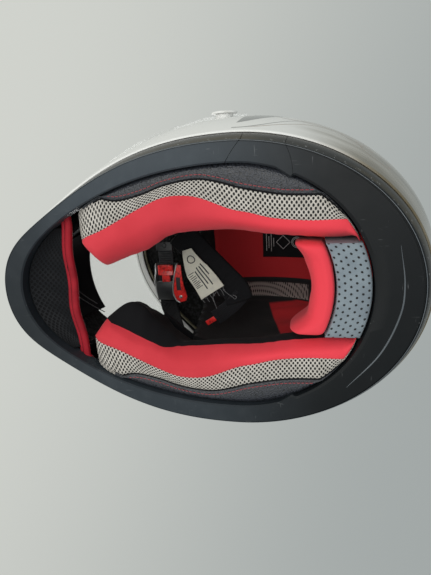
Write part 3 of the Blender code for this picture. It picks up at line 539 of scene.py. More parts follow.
class Finish:
    """A material under construction: a Principled BSDF and short ways to add nodes to it."""

    def __init__(self, name, color, roughness, **constants):
        self.material = bpy.data.materials.new(name)
        self.material.use_nodes = True
        self.tree = self.material.node_tree
        self.shader = self.tree.nodes["Principled BSDF"]
        self.set("Base Color", color)
        self.set("Roughness", roughness)
        for socket, value in constants.items():
            self.set(socket.replace("_", " "), value)

    def node(self, kind, settings=None, **sockets):
        """A new node with some settings, and its inputs fed by name."""
        made = self.tree.nodes.new(kind)
        for setting, value in (settings or {}).items():
            setattr(made, setting, value)
        for socket, value in sockets.items():
            self.feed(made.inputs[socket.replace("_", " ")], value)
        return made

    def feed(self, slot, value):
        """Links a socket or a value to an input, or sets a constant in it."""
        if isinstance(value, Value):
            value = value.socket
        if isinstance(value, bpy.types.NodeSocket):
            self.tree.links.new(value, slot)
        elif isinstance(value, tuple) and len(value) == 3 and slot.type == "RGBA":
            slot.default_value = (*value, 1.0)
        else:
            slot.default_value = value

    def set(self, socket, value):
        """Feeds one input of the Principled BSDF."""
        self.feed(self.shader.inputs[socket], value)

    def place(self):
        """x, y and z of the point, in metres."""
        where = self.node("ShaderNodeTexCoord").outputs["Object"]
        split = self.node("ShaderNodeSeparateXYZ", Vector=where)
        return [Value(self, out) for out in split.outputs]

    def cloth_place(self):
        """u and v along the piece, in metres."""
        where = self.node("ShaderNodeTexCoord").outputs["UV"]
        split = self.node("ShaderNodeSeparateXYZ", Vector=where)
        return [Value(self, out) for out in split.outputs][:2]

    def noise(self, scale, detail=2.0, stretch=(1.0, 1.0, 1.0)):
        """Fractal noise by place, from 0 to 1: the higher stretch is on an axis, the finer the noise there."""
        where = self.node("ShaderNodeTexCoord").outputs["Object"]
        mapping = self.node("ShaderNodeMapping", Vector=where, Scale=stretch)
        made = self.node("ShaderNodeTexNoise", Vector=mapping.outputs[0], Scale=scale, Detail=detail)
        return Value(self, made.outputs[0])

    def cells(self, scale, feature="F1"):
        """Distance to the nearest point of a Voronoi scatter by place."""
        where = self.node("ShaderNodeTexCoord").outputs["Object"]
        made = self.node("ShaderNodeTexVoronoi", {"feature": feature}, Vector=where, Scale=scale)
        return Value(self, made.outputs["Distance"])

    def mix(self, factor, first, second):
        """A colour between the first at 0 and the second at 1."""
        made = self.node("ShaderNodeMix", {"data_type": "RGBA"})
        self.feed(made.inputs["Factor"], factor)
        self.feed(made.inputs[6], first)
        self.feed(made.inputs[7], second)
        return made.outputs[2]

    def bump(self, height, distance, strength=1.0):
        """Tilts the normal as if height stood out by distance."""
        made = self.node("ShaderNodeBump", Height=height, Distance=distance, Strength=strength)
        self.set("Normal", made.outputs[0])


# ---------------------------------------------------------------- finishes

def colors():
    """The add-on's colours."""
    return bpy.context.scene.helmet_colors


def sizes():
    """The add-on's sizes."""
    return bpy.context.scene.helmet_sizes


def rgb(name):
    """One of the add-on's colours, as red, green and blue."""
    return tuple(getattr(colors(), name))


def dots(finish, pitch, rows, radius):
    """Staggered round holes on the piece's UVs: 1 in a hole and 0 between them."""
    u, v = finish.cloth_place()
    row = v / rows
    across = ((u / pitch + (row.floor() * 0.5).fract()).fract() - 0.5) * pitch
    down = (row.fract() - 0.5) * rows
    return 1 - (across * across + down * down).sqrt().step(radius * 0.7, radius * 1.15)


def white_paint():
    """Gloss white paint with generic sweeping lines and rings, a silver-grey band and champagne shading at the
    rear. Each line is a curve z = a + b * S(y), S being an S curve, drawn where z is near it."""
    f = Finish("white_paint", rgb("white_paint"), 0.12, Coat_Weight=0.2, Coat_Roughness=0.05,
               Specular_IOR_Level=0.35)
    x, y, z = f.place()
    on_side = x.abs().step(0.020, 0.045)

    def line(height, half, soft=0.0006):
        """1 within half of a height, falling to 0 over soft."""
        return 1 - (z - height).abs().step(half, half + soft)

    foot = y.step(0.014, 0.070) * 0.052 + 0.036
    head = foot + 0.030 * (1 - y.step(0.075, 0.122))
    start = (y - z * 0.10 - 0.014).step(0.0, 0.0008)
    band = (z - foot).step(0.0, 0.0006) * (1 - (z - head).step(0.0, 0.0008)) * start
    band = band * (1 - y.step(0.118, 0.120))
    under = line(y.step(0.020, 0.095) * 0.065 + 0.022, 0.0007) * start * (1 - y.step(0.125, 0.140))
    thin = line(y.step(0.020, 0.100) * 0.047 + 0.021, 0.0004) * y.step(0.026, 0.034) * (1 - y.step(0.118, 0.130))
    thick = line(0.085 - y.step(0.034, 0.056) * 0.022 + y.step(0.060, 0.095) * 0.006, 0.0009)
    thick = thick * y.step(0.030, 0.034) * (1 - y.step(0.104, 0.118))
    fine = line(0.118 - y.step(0.000, 0.090) * 0.050, 0.0004) * y.step(0.000, 0.010) * (1 - y.step(0.100, 0.112))
    taupe = thin.most(thick).most(fine * 0.8)
    for at_y, at_z, radius, until in ((0.104, 0.066, 0.0085, 0.071), (0.112, 0.060, 0.0060, 0.066),
                                      (0.119, 0.052, 0.0105, 0.056)):
        away = ((y - at_y) * (y - at_y) + (z - at_z) * (z - at_z)).sqrt()
        ring = 1 - (away - radius).abs().step(0.0004, 0.0009)
        taupe = taupe.most(ring * (1 - z.step(until, until + 0.004)))
    drift = f.noise(14.0, 3.0)
    streak = (f.noise(17.0, 3.0, (0.6, 0.6, 4.5)) * 0.75 + drift * 0.25).step(0.34, 0.66)
    rear = (y + drift * 0.025).step(0.060, 0.125)
    low = 1 - (z + drift * 0.03).step(0.060, 0.150)
    shade = f.mix(rear * (streak * 0.35 + 0.65), rgb("white_paint"), rgb("champagne"))
    shade = f.mix(rear * streak * low * 0.75, shade, rgb("olive_paint"))
    shade = f.mix(band * on_side, shade, f.mix(y.step(0.050, 0.115), rgb("silver_paint"), rgb("silver_light")))
    shade = f.mix(under * on_side * 0.9, shade, rgb("dark_line"))
    shade = f.mix(taupe * on_side, shade, rgb("taupe_paint"))
    f.set("Base Color", shade)
    f.set("Roughness", f.noise(60.0, 3.0) * 0.10 + 0.07)
    f.bump(f.noise(420.0, 2.0), 0.00003, 0.3)
    return f.material


def khaki_rubber():
    """Glossy rubber strip that takes a khaki tone from its dusty film."""
    f = Finish("khaki_rubber", rgb("khaki"), 0.35)
    film = f.noise(130.0, 4.0)
    f.set("Base Color", f.mix(film.step(0.35, 0.75), rgb("khaki"), rgb("khaki_dark")))
    f.set("Roughness", film * 0.3 + 0.2)
    f.bump(f.noise(900.0, 2.0), 0.00004, 0.5)
    return f.material


def gloss_bevel():
    """The trim's polished outer bevel: black with long khaki streaks and rubbed marks along its edge."""
    f = Finish("gloss_bevel", rgb("bevel"), 0.25, Specular_IOR_Level=0.3, Coat_Weight=0.1, Coat_Roughness=0.1)
    y, z = f.place()[1:]
    streak = f.noise(30.0, 4.0, (0.5, 0.5, 5.0))
    film = streak.step(0.38, 0.62) * y.step(-0.10, 0.02) * 0.9
    rub = f.noise(420.0, 3.0).step(0.60, 0.72) * (1 - z.step(0.003, 0.006))
    f.set("Base Color", f.mix(rub * 0.6, f.mix(film, rgb("bevel"), rgb("khaki_dark")), rgb("scuff")))
    f.set("Roughness", streak * 0.35 + 0.10)
    f.bump(f.noise(500.0, 3.0), 0.00004, 0.5)
    return f.material


def pale_edge():
    """The worn line that runs round the trim near its outer edge, strongest at the chin, with painted shade that
    dims it towards the rear.
    """
    f = Finish("pale_edge", rgb("trim"), 0.35)
    y = f.place()[1]
    # Painted shade: the worn line is dimmed towards the rear
    worn = (f.noise(24.0, 4.0) - 0.15) * 1.3 * (1 - y.step(-0.02, 0.10) * 0.5)
    f.set("Base Color", f.mix(worn, rgb("trim"), rgb("edge_line")))
    f.set("Roughness", worn * 0.2 + 0.3)
    f.bump(f.noise(900.0, 3.0), 0.00004, 0.5)
    return f.material


def satin_trim():
    """Slate-black moulded trim with light scuffs and a pale haze, and painted light and shade: lightest just
    behind the chin and on the left side, much darker towards the rear.
    """
    f = Finish("satin_trim", rgb("trim"), 0.42, Specular_IOR_Level=0.2)
    x, y = f.place()[:2]
    scuffs = f.noise(70.0, 6.0, (1.0, 1.0, 0.2))
    scratch = f.noise(900.0, 2.0, (0.08, 1.0, 1.0)).most(f.noise(900.0, 2.0, (1.0, 0.08, 1.0)))
    marks = scratch.step(0.68, 0.76) * f.noise(35.0, 1.0).step(0.48, 0.60)
    # Painted light and shade: the trim is lightest just behind the chin and on the left side, dimmer at the chin's
    # tip and on the right, and falls to the painted shade colour towards the rear
    pale = y.step(-0.160, -0.090) * 0.55 + 0.45
    pale = pale * (1 - y.step(-0.030, 0.095)) * (x.step(-0.030, 0.050) * 0.35 + 0.65)
    haze = f.mix(scuffs.step(0.40, 0.75) * 0.5, rgb("trim"), rgb("trim_haze"))
    # From here haze holds the painted shade as well as the haze
    haze = f.mix(pale, rgb("trim_shaded"), haze)
    f.set("Base Color", f.mix(marks * 0.35, haze, rgb("scuff")))
    f.set("Roughness", scuffs * 0.25 + 0.30)
    f.bump(f.noise(1500.0, 2.0), 0.00006, 0.5)
    return f.material


def leather():
    """Black pebbled leatherette: raised cells with fine creases between them, the cells lighter as a painted
    highlight and the creases darker as painted shade.
    """
    f = Finish("pebbled_leather", rgb("leather"), 0.5, Specular_IOR_Level=0.6)
    pebbles = f.cells(1000.0, "SMOOTH_F1")
    worn = f.noise(80.0, 3.0)
    # Painted highlight on the raised pebbles and painted shade in the creases between them
    f.set("Base Color", f.mix(pebbles.step(0.25, 0.75), rgb("leather_lit"), rgb("leather")))
    f.set("Roughness", worn * 0.25 + 0.36)
    f.bump(1 - pebbles, 0.00045, 0.9)
    return f.material


def spacer_mesh():
    """Beige spacer mesh: staggered dark holes in a knit of fine ribs."""
    f = Finish("spacer_mesh", rgb("beige_mesh"), 0.9, Sheen_Weight=0.03)
    holes = dots(f, sizes().mesh_pitch, sizes().mesh_rows, sizes().mesh_hole)
    u, v = f.cloth_place()
    ribs = (u * 5200.0).sin() * (v * 5200.0).sin()
    tone = f.mix(f.noise(160.0, 3.0).step(0.3, 0.7), rgb("beige_mesh"), rgb("beige_shade"))
    f.set("Base Color", f.mix(holes, tone, rgb("mesh_hole")))
    f.bump(ribs * 0.12 - holes, 0.0009, 0.9)
    return f.material


def red_cloth():
    """Brushed red stretch cloth: a fine knit with a soft nap and slow changes of tone, with a painted highlight
    that grows towards the rear and painted shade higher up, towards the lip.
    """
    f = Finish("red_cloth", rgb("red_cloth"), 0.85, Sheen_Weight=0.06, Sheen_Roughness=0.5)
    nap = f.noise(2400.0, 2.0)
    wear = f.noise(26.0, 3.0)
    tone = f.mix(wear.step(0.35, 0.72), rgb("red_cloth"), rgb("red_worn"))
    y, z = f.place()[1:]
    # Painted highlight: the red is lighter towards the rear, where more light falls, mixed with the lighter tips
    # of the nap
    bright = y.step(-0.020, 0.060) * 0.65 + (nap - 0.35) * 0.25
    # Painted shade: the red is darker higher up the pad, deeper inside, towards the lip
    tone = f.mix(z.step(0.014, 0.032) * 0.5, f.mix(bright, tone, rgb("red_lit")), rgb("red_shaded"))
    f.set("Base Color", tone)
    f.set("Roughness", nap * 0.2 + 0.72)
    f.bump(nap + f.noise(240.0, 2.0) * 0.6, 0.00022, 0.7)
    return f.material


def panel_cloth():
    """Grey cloth of the neck panel with a few staggered punched holes."""
    f = Finish("panel_cloth", rgb("grey_panel"), 0.8, Sheen_Weight=0.05)
    holes = dots(f, sizes().panel_pitch, sizes().panel_rows, sizes().panel_hole)
    u, v = f.cloth_place()
    knit = (u * 7000.0).sin() * (v * 7000.0).sin()
    tone = f.mix(f.noise(90.0, 3.0).step(0.3, 0.75), rgb("grey_panel"), rgb("grey_shade"))
    f.set("Base Color", f.mix(holes, tone, rgb("mesh_hole")))
    f.bump(knit * 0.15 - holes, 0.0005, 0.9)
    return f.material


def air_mesh():
    """Black open mesh with diamond ribs that cross at a slant."""
    f = Finish("air_mesh", rgb("black_cloth"), 0.6, Sheen_Weight=0.01, Specular_IOR_Level=0.1)
    u, v = f.cloth_place()
    pitch = sizes().curtain_pitch
    one = ((u + v * 0.7) / pitch * math.pi).sin().abs()
    two = ((u - v * 0.7) / pitch * math.pi).sin().abs()
    holes = (one * two).step(0.45, 0.70)
    f.set("Base Color", f.mix(holes, rgb("mesh_rib"), rgb("mesh_hole")))
    f.set("Roughness", holes * 0.4 + 0.45)
    f.bump(1 - holes, 0.0008, 0.9)
    return f.material


def black_cloth():
    """Brushed black lining with a fine knit."""
    f = Finish("black_cloth", rgb("black_cloth"), 0.92, Sheen_Weight=0.02, Specular_IOR_Level=0.12)
    nap = f.noise(1800.0, 2.0)
    f.set("Base Color", f.mix(nap, rgb("black_cloth"), rgb("black_high")))
    f.bump(nap, 0.0002, 0.7)
    return f.material


def black_plastic():
    """Satin black moulded plastic with a fine spark texture."""
    f = Finish("black_plastic", rgb("black_plastic"), 0.42)
    grain = f.noise(1300.0, 2.0)
    f.set("Base Color", f.mix(f.noise(60.0, 4.0).step(0.45, 0.8) * 0.6, rgb("black_plastic"), rgb("plastic_haze")))
    f.set("Roughness", f.noise(90.0, 3.0) * 0.2 + 0.32)
    f.bump(grain, 0.00005, 0.6)
    return f.material


def webbing():
    """Black woven tape: a herringbone of ribs across and along, the raised ribs lighter as a painted highlight."""
    f = Finish("woven_webbing", rgb("webbing"), 0.75, Sheen_Weight=0.02, Specular_IOR_Level=0.25)
    u, v = f.cloth_place()
    pitch = sizes().web_pitch
    slant = ((u + (v / pitch * 0.25).fract().step(0.45, 0.55) * pitch) / pitch * TAU + v / pitch * 2.0).sin()
    rib = (v / pitch * TAU * 0.5).sin().abs()
    # Painted highlight on the raised ribs and painted shade between them
    f.set("Base Color", f.mix(slant * 0.3 + rib * 0.3 + 0.2, rgb("webbing"), rgb("webbing_high")))
    f.bump(slant * 0.5 + rib, 0.0004, 0.9)
    return f.material


def white_cloth():
    """White woven tape with generic bars and a ring, as a care tag has, and a small wear of grey."""
    f = Finish("white_cloth", rgb("white_cloth"), 0.85, Sheen_Weight=0.2)
    u, v = f.cloth_place()
    weave = (u * 6300.0).sin() * (v * 6300.0).sin()
    tone = f.mix(f.noise(120.0, 3.0).step(0.4, 0.75) * 0.5, rgb("white_cloth"), rgb("cloth_shade"))
    f.set("Base Color", tone)
    f.bump(weave, 0.00015, 0.8)
    return f.material


def ink():
    """Dark print on the tag, worn to a lighter tone in spots."""
    f = Finish("tag_ink", rgb("ink"), 0.7)
    f.set("Base Color", f.mix(f.noise(900.0, 2.0).step(0.55, 0.8) * 0.5, rgb("ink"), rgb("ink_worn")))
    f.bump(f.noise(1500.0, 2.0), 0.00005, 0.5)
    return f.material


def label_thread():
    """Pale thread of the crown label, greyed in patches."""
    f = Finish("label_thread", rgb("label_thread"), 0.8)
    f.set("Base Color", f.mix(f.noise(900.0, 2.0).step(0.4, 0.8), rgb("label_thread"), rgb("ink_worn")))
    f.bump(f.noise(2500.0, 2.0), 0.0001, 0.6)
    return f.material


def piping_cloth():
    """Deep red rolled cloth: a fine rib along the roll and a soft change of tone."""
    f = Finish("piping_cloth", rgb("piping"), 0.7, Specular_IOR_Level=0.2)
    u, v = f.cloth_place()
    rib = (u * 5200.0).sin() * 0.5 + (v * 3000.0).sin() * 0.3
    wear = f.noise(60.0, 3.0)
    f.set("Base Color", f.mix(wear.step(0.35, 0.75), rgb("piping"), rgb("piping_dark")))
    f.set("Roughness", wear * 0.2 + 0.55)
    f.bump(rib, 0.00015, 0.7)
    return f.material


def white_plastic():
    """Satin white moulded plastic with faint grey rubbing."""
    f = Finish("white_plastic", rgb("white_paint"), 0.35)
    rub = f.noise(140.0, 4.0)
    f.set("Base Color", f.mix(rub.step(0.5, 0.85) * 0.5, rgb("white_paint"), rgb("cloth_shade")))
    f.set("Roughness", rub * 0.2 + 0.25)
    f.bump(f.noise(1300.0, 2.0), 0.00004, 0.5)
    return f.material


def red_thread():
    """Twisted sewing thread."""
    f = Finish("red_thread", rgb("red_thread"), 0.7, Sheen_Weight=0.3)
    u, v = f.cloth_place()
    twist = ((u + v) * 9000.0).sin()
    f.set("Base Color", f.mix(twist * 0.5 + 0.5, rgb("red_thread"), rgb("red_dark")))
    f.bump(twist, 0.0001, 0.7)
    return f.material


def grey_thread():
    """Loose grey sewing thread with a fine change of tone."""
    f = Finish("grey_thread", rgb("grey_thread"), 0.7, Sheen_Weight=0.3)
    twist = f.noise(1800.0, 2.0)
    f.set("Base Color", f.mix(twist, rgb("grey_thread"), rgb("webbing_high")))
    f.bump(twist, 0.0001, 0.7)
    return f.material


def brushed_steel():
    """Steel with fine brush lines along X."""
    f = Finish("brushed_steel", rgb("steel"), 0.3, Metallic=1.0)
    brush = f.noise(2600.0, 3.0, (0.04, 1.0, 1.0))
    f.set("Base Color", f.mix(brush, rgb("steel"), rgb("steel_shade")))
    f.set("Roughness", brush * 0.3 + 0.18)
    f.bump(brush, 0.00004, 0.5)
    return f.material


def red_plastic():
    """Glossy moulded red with a faint flow pattern and rubbed edges."""
    f = Finish("red_plastic", rgb("red_plastic"), 0.3, Coat_Weight=0.3)
    f.set("Base Color", f.mix(f.noise(300.0, 3.0).step(0.4, 0.75), rgb("red_plastic"), rgb("red_dark")))
    f.set("Roughness", f.noise(500.0, 3.0) * 0.25 + 0.2)
    f.bump(f.noise(900.0, 2.0), 0.00004, 0.5)
    return f.material


def rubber():
    """Dull black rubber with patches of pale dust."""
    f = Finish("gasket_rubber", rgb("rubber"), 0.7)
    dust = f.noise(150.0, 4.0)
    f.set("Base Color", f.mix(dust.step(0.45, 0.8) * 0.6, rgb("rubber"), rgb("rubber_dust")))
    f.set("Roughness", dust * 0.3 + 0.5)
    f.bump(f.noise(1100.0, 2.0), 0.00008, 0.6)
    return f.material


def foam():
    """Dark expanded foam: a mosaic of pressed beads, the beads lighter as a painted highlight and the creases
    between them darker as painted shade.
    """
    f = Finish("bead_foam", rgb("foam"), 0.85, Specular_IOR_Level=0.15)
    beads = f.cells(320.0)
    # Painted highlight on the beads and painted shade in the creases between them
    f.set("Base Color", f.mix(beads.step(0.3, 0.7), rgb("foam_lit"), rgb("foam")))
    f.set("Roughness", beads * 0.2 + 0.7)
    f.bump(1 - beads, 0.0006, 0.8)
    return f.material


def crown_cloth():
    """Crown lining: a dark red middle, black borders, beige mesh strips and red lower sides, by place."""
    f = Finish("crown_cloth", rgb("crown_red"), 0.9, Sheen_Weight=0.05)
    x, y, z = f.place()
    side = x.abs()
    middle = (1 - side.step(0.0385, 0.0395)) * y.step(-0.0375, -0.0365)
    rows = (side / 0.0019 + z / 0.0030)
    holes = ((y / 0.0024 + (rows.floor() * 0.5).fract()).fract() - 0.5).abs() + (rows.fract() - 0.5).abs()
    strip = side.step(0.044, 0.0445) * (1 - side.step(0.0575, 0.058))
    strip = strip * y.step(-0.019, -0.018) * (1 - y.step(0.071, 0.072))
    folds = side.step(0.059, 0.060) * (y + (z - 0.13) * 0.3).step(0.040, 0.042) * (1 - z.step(0.172, 0.176))
    rear = y.step(0.078, 0.080)
    red = middle.most(folds).most(rear) * z.step(0.088, 0.092)
    nap = f.noise(1900.0, 2.0)
    tone = f.mix(nap * 0.4, rgb("crown_red"), rgb("crown_high"))
    shade = f.mix(red, rgb("black_cloth"), tone)
    knit = f.mix(1 - holes.step(0.28, 0.42), rgb("dull_mesh"), rgb("mesh_hole"))
    f.set("Base Color", f.mix(strip * (1 - rear), shade, knit))
    f.bump(nap + f.noise(90.0, 2.0) * 1.5, 0.0003, 0.8)
    return f.material


def clear_visor():
    """Clear hard-coated shield: nearly all the light passes, with a trace of smears in its gloss."""
    f = Finish("clear_visor", rgb("visor"), 0.04, Specular_IOR_Level=0.6, Coat_Weight=0.5, Coat_Roughness=0.03)
    smears = f.noise(24.0, 5.0, (1.0, 1.0, 0.3))
    f.set("Alpha", smears * 0.05 + 0.04)
    f.set("Roughness", smears.step(0.5, 0.8) * 0.12 + 0.03)
    return f.material


MADE = {}


def shared(maker):
    """A finish that is made once, when a piece first asks for it."""
    def finish():
        if maker.__name__ not in MADE:
            MADE[maker.__name__] = maker()
        return MADE[maker.__name__]
    return finish


FINISHES = {
    maker.__name__: shared(maker)
    for maker in (
        white_paint, satin_trim, leather, spacer_mesh, red_cloth, panel_cloth, air_mesh, black_cloth,
        black_plastic, webbing, white_cloth, ink, label_thread, red_thread, grey_thread, brushed_steel,
        red_plastic, rubber, foam, crown_cloth, clear_visor, khaki_rubber, gloss_bevel, pale_edge, piping_cloth,
        white_plastic,
    )
}


def refinish(node, finish):
    """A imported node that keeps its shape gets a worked-out finish in all its slots."""
    mesh = frame["nodes"][node].data
    for index in range(len(mesh.materials)):
        mesh.materials[index] = FINISHES[finish]()


# ---------------------------------------------------------------- shell, visor and vents

def port_value(x, z):
    """Below 1 inside the eye port: |x/a|^p + |z/b|^p about its middle."""
    across, up = np.abs(x) / PORT_HALF_WIDTH, np.abs(z - PORT_CENTRE_Z) / PORT_HALF_HEIGHT
    return across**PORT_POWER + up**PORT_POWER


def signed_power(value, power):
    """sign(v) * |v|^power, which squares a circle's cosine and sine into a superellipse."""
    return np.sign(value) * np.abs(value) ** power


def port_outline(margin, count):
    """x and z round the eye port: a superellipse grown by a margin."""
    a = np.linspace(0, TAU, count, endpoint=False)
    x = (PORT_HALF_WIDTH + margin) * signed_power(np.cos(a), 2 / PORT_POWER)
    z = (PORT_HALF_HEIGHT + margin) * signed_power(np.sin(a), 2 / PORT_POWER)
    return x, PORT_CENTRE_Z + z


def side_point(y, z, side, inset):
    """The point of the shell's side at each y and z, by halving the angle from the chin."""
    angle = bisect(np.full(y.shape, 0.9), np.full(y.shape, 2.2), lambda a: shell_surface(z, a, inset)[..., 1] < y)
    point = shell_surface(z, angle, inset)
    point[..., 0] *= side
    return point


def pivot_holes(patch, inset):
    """Cuts the visor's pivot hole on each side and rounds its edge."""
    for side in (1, -1):
        def inside(p, side=side):
            """The points within the pivot's radius, on one side."""
            near = np.hypot(p[:, 1] - PIVOT_Y, p[:, 2] - PIVOT_Z) < PIVOT_RADIUS
            return near & (p[:, 0] * side > 0.05)

        def snap(p, side=side):
            """The points moved straight out to the pivot's radius, on the shell's side."""
            y, z = p[:, 1] - PIVOT_Y, p[:, 2] - PIVOT_Z
            grow = PIVOT_RADIUS / np.maximum(np.hypot(y, z), 1e-6)
            return side_point(PIVOT_Y + y * grow, PIVOT_Z + z * grow, side, inset)

        patch.open_up(inside, snap)
    return patch


def make_shell():
    """Shell skin: the egg outline at 128 heights, packed towards the crown, with the port and pivots cut out."""
    rise = np.linspace(0, 1, 128)
    z = SHELL_BOTTOM + (SHELL_HEIGHT - SHELL_BOTTOM) * np.sin(rise * np.pi / 2)
    z = np.concatenate([[z[0] + 0.0002], z[0] + np.array([0.0, 0.0003, 0.001]), z[1:-1]])
    inset = np.concatenate([[0.0014, 0.0008, 0.0003, 0.0], np.zeros(126)])
    angle = np.linspace(0, TAU, 288, endpoint=False)
    points = shell_surface(z[:, None], angle[None], 0.0)
    radial = points - np.array([0, CENTRE_Y, 0])
    radial[..., 2] = 0
    radial /= np.maximum(np.linalg.norm(radial, axis=-1, keepdims=True), 1e-6)
    points = points - radial * inset[:, None, None]
    skin = Patch(points, (False, True), (False, True))

    def snap(p):
        """The points moved out from the port's middle to its outline, where port_value is 1."""
        grow = port_value(p[:, 0], p[:, 2]) ** (-1 / PORT_POWER)
        return front_point(p[:, 0] * grow, PORT_CENTRE_Z + (p[:, 2] - PORT_CENTRE_Z) * grow)

    skin.open_up(lambda p: (p[:, 1] < -0.040) & (port_value(p[:, 0], p[:, 2]) < 1), snap)
    pivot_holes(skin, 0.0)
    shell = piece("shell_skin", skin, ["white_paint", "black_plastic"], replaces=("outer_shell",),
                  crease=60)
    solidify(shell, SHELL_WALL)
    shell.modifiers["wall"].material_offset = 1


def make_port_gasket():
    """Rubber edging on the shell round the port, a white rolled rim inside the port and a strip behind it: each a
    closed ring of oval section that follows the port's outline."""
    x, z = port_outline(0.0022, 160)
    out = front_point(x, z, -0.01) - front_point(x, z, 0.0)
    a = np.linspace(0, TAU, 14, endpoint=False)
    oval = np.stack([np.cos(a), np.sin(a)], -1)
    gasket = tube(front_point(x, z, -0.0004), oval * [0.0022, 0.0011], out, closed=True)
    piece("port_gasket", gasket, ["rubber"], replaces=("visor_seal",))
    x, z = port_outline(-0.0006, 200)
    out = front_point(x, z, -0.01) - front_point(x, z, 0.0)
    rim = tube(front_point(x, z, 0.0042), oval * [0.0014, 0.0044], out, closed=True)
    piece("port_rim", rim, ["white_paint"])
    x, z = port_outline(0.0004, 200)
    strip = tube(front_point(x, z, 0.0092), oval * [0.0013, 0.0015], out, closed=True)
    piece("port_strip", strip, ["khaki_rubber"])


def visor_band(angle):
    """Middle height and half height of the shield: a superellipse over the port that narrows to an arm at each
    pivot, whose end is a half ellipse."""
    turn = np.abs(angle)
    share = np.minimum(turn / PIVOT_ANGLE, 1)
    wide = np.minimum(np.abs(shell_surface(PORT_CENTRE_Z, angle)[..., 0]) / (PORT_HALF_WIDTH + VISOR_OVERLAP), 1)
    half = VISOR_ARM + (PORT_HALF_HEIGHT + VISOR_OVERLAP - VISOR_ARM) * (1 - wide**PORT_POWER) ** (1 / PORT_POWER)
    end = np.clip((turn - PIVOT_ANGLE) / VISOR_END, 0, 1)
    return PORT_CENTRE_Z + (PIVOT_Z - PORT_CENTRE_Z) * share**2, half * np.sqrt(1 - end**2)


def make_visor():
    """Shield: the shell's outline moved out by the gap, between the edges that visor_band gives."""
    reach = PIVOT_ANGLE + VISOR_END * 0.97
    angle = reach * np.sin(np.linspace(-1, 1, 181) * np.pi / 2 * 0.985) / math.sin(np.pi / 2 * 0.985)
    middle, half = visor_band(angle)
    z = middle + half * np.linspace(-1, 1, 41)[:, None]
    points = shell_surface(z, angle[None], -VISOR_GAP)
    skin = pivot_holes(Patch(points, facing=(0, -1, 0)), -VISOR_GAP)
    shield = piece("visor_shield_clear", skin, ["clear_visor"], "visor_shield", ("visor",))
    solidify(shield, VISOR_WALL, 1.0)


def make_visor_tab():
    """Lifting tab: a small rounded block with three grip ribs, laid along the shield's lower edge."""
    low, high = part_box("visor_tab")
    middle = np.array((low + high) / 2)
    across = shell_surface(middle[2], np.radians(-33.0)) - shell_surface(middle[2], np.radians(-35.0))
    turn = math.atan2(across[1], across[0])
    c, s = math.cos(turn), math.sin(turn)
    spin = np.array([[c, s, 0], [-s, c, 0], [0, 0, 1]])
    parts = [slab((-0.0108, -0.0024, -0.0024), (0.0108, 0.0024, 0.0024), 0.0009)]
    parts += [slab((k * 0.004 - 0.0007, -0.0029, -0.0018), (k * 0.004 + 0.0007, -0.0018, 0.0018), 0.0003)
              for k in (-1, 0, 1)]
    for patch in parts:
        patch.points = patch.points @ spin + middle
    piece("visor_lifting_tab", parts, ["black_plastic"], "visor_shield", ("visor_tab",))


def make_pivot_caps():
    """Screw caps: a turned disc with a rounded rim, a shallow dish and a cross slot of two raised bars."""
    for side, word in ((1, "left"), (-1, "right")):
        low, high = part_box("visor_screw_" + word)
        inner, outer = (low.x, high.x) if side > 0 else (high.x, low.x)
        rim = PIVOT_CAP_RADIUS
        wall = abs(outer - inner)
        cap = turned([rim - 0.0003, rim, rim, rim - 0.0005, rim - 0.0014, rim - 0.003, rim - 0.0045],
                     [0.0, 0.0003, wall - 0.0008, wall - 0.0002, wall, wall - 0.0003, wall - 0.0007],
                     (inner, PIVOT_Y, PIVOT_Z), (side, 0, 0))
        bars = []
        for size in ((0.0045, 0.0009), (0.0009, 0.0045)):
            half = np.array([0.0, *size])
            middle = np.array([outer - side * 0.0006, PIVOT_Y, PIVOT_Z])
            bars.append(bar_along_x(middle, half, 0.0005))
        piece("pivot_cap_" + word, [cap, *bars], ["white_plastic"], "shell", ("visor_screw_" + word,))
        refinish("visor_pivot_" + word, "white_plastic")


def bar_along_x(middle, half, depth):
    """A thin rounded bar that stands out of a plane across X."""
    ring = rounded_bar(2 * half[1], 2 * half[2], 0.0006)
    rings = [np.column_stack([np.full(len(ring), x), ring * grow]) + middle
             for x, grow in ((-depth, 1.0), (depth * 0.6, 1.0), (depth, 0.85))]
    return Patch(np.array(rings), *CAPPED)


def pillow(u, v):
    """1 over the middle of a plate and 0 at its edges: ((1 - u^10)(1 - v^10))^0.3."""
    return ((1 - u**10) * (1 - v**10)) ** 0.3


def plate_between(front, back):
    """A plate between two grids: they join along the first and last rows, and a strip closes each side."""
    row, column = len(back) // 2, back.shape[1] // 2
    body = Patch(np.concatenate([front, back[::-1]], 0), (True, False))
    return [body] + [Patch(np.stack([front[:, k], back[:, k]], 1), facing=back[row, k] - back[row, column])
                     for k in (0, -1)]


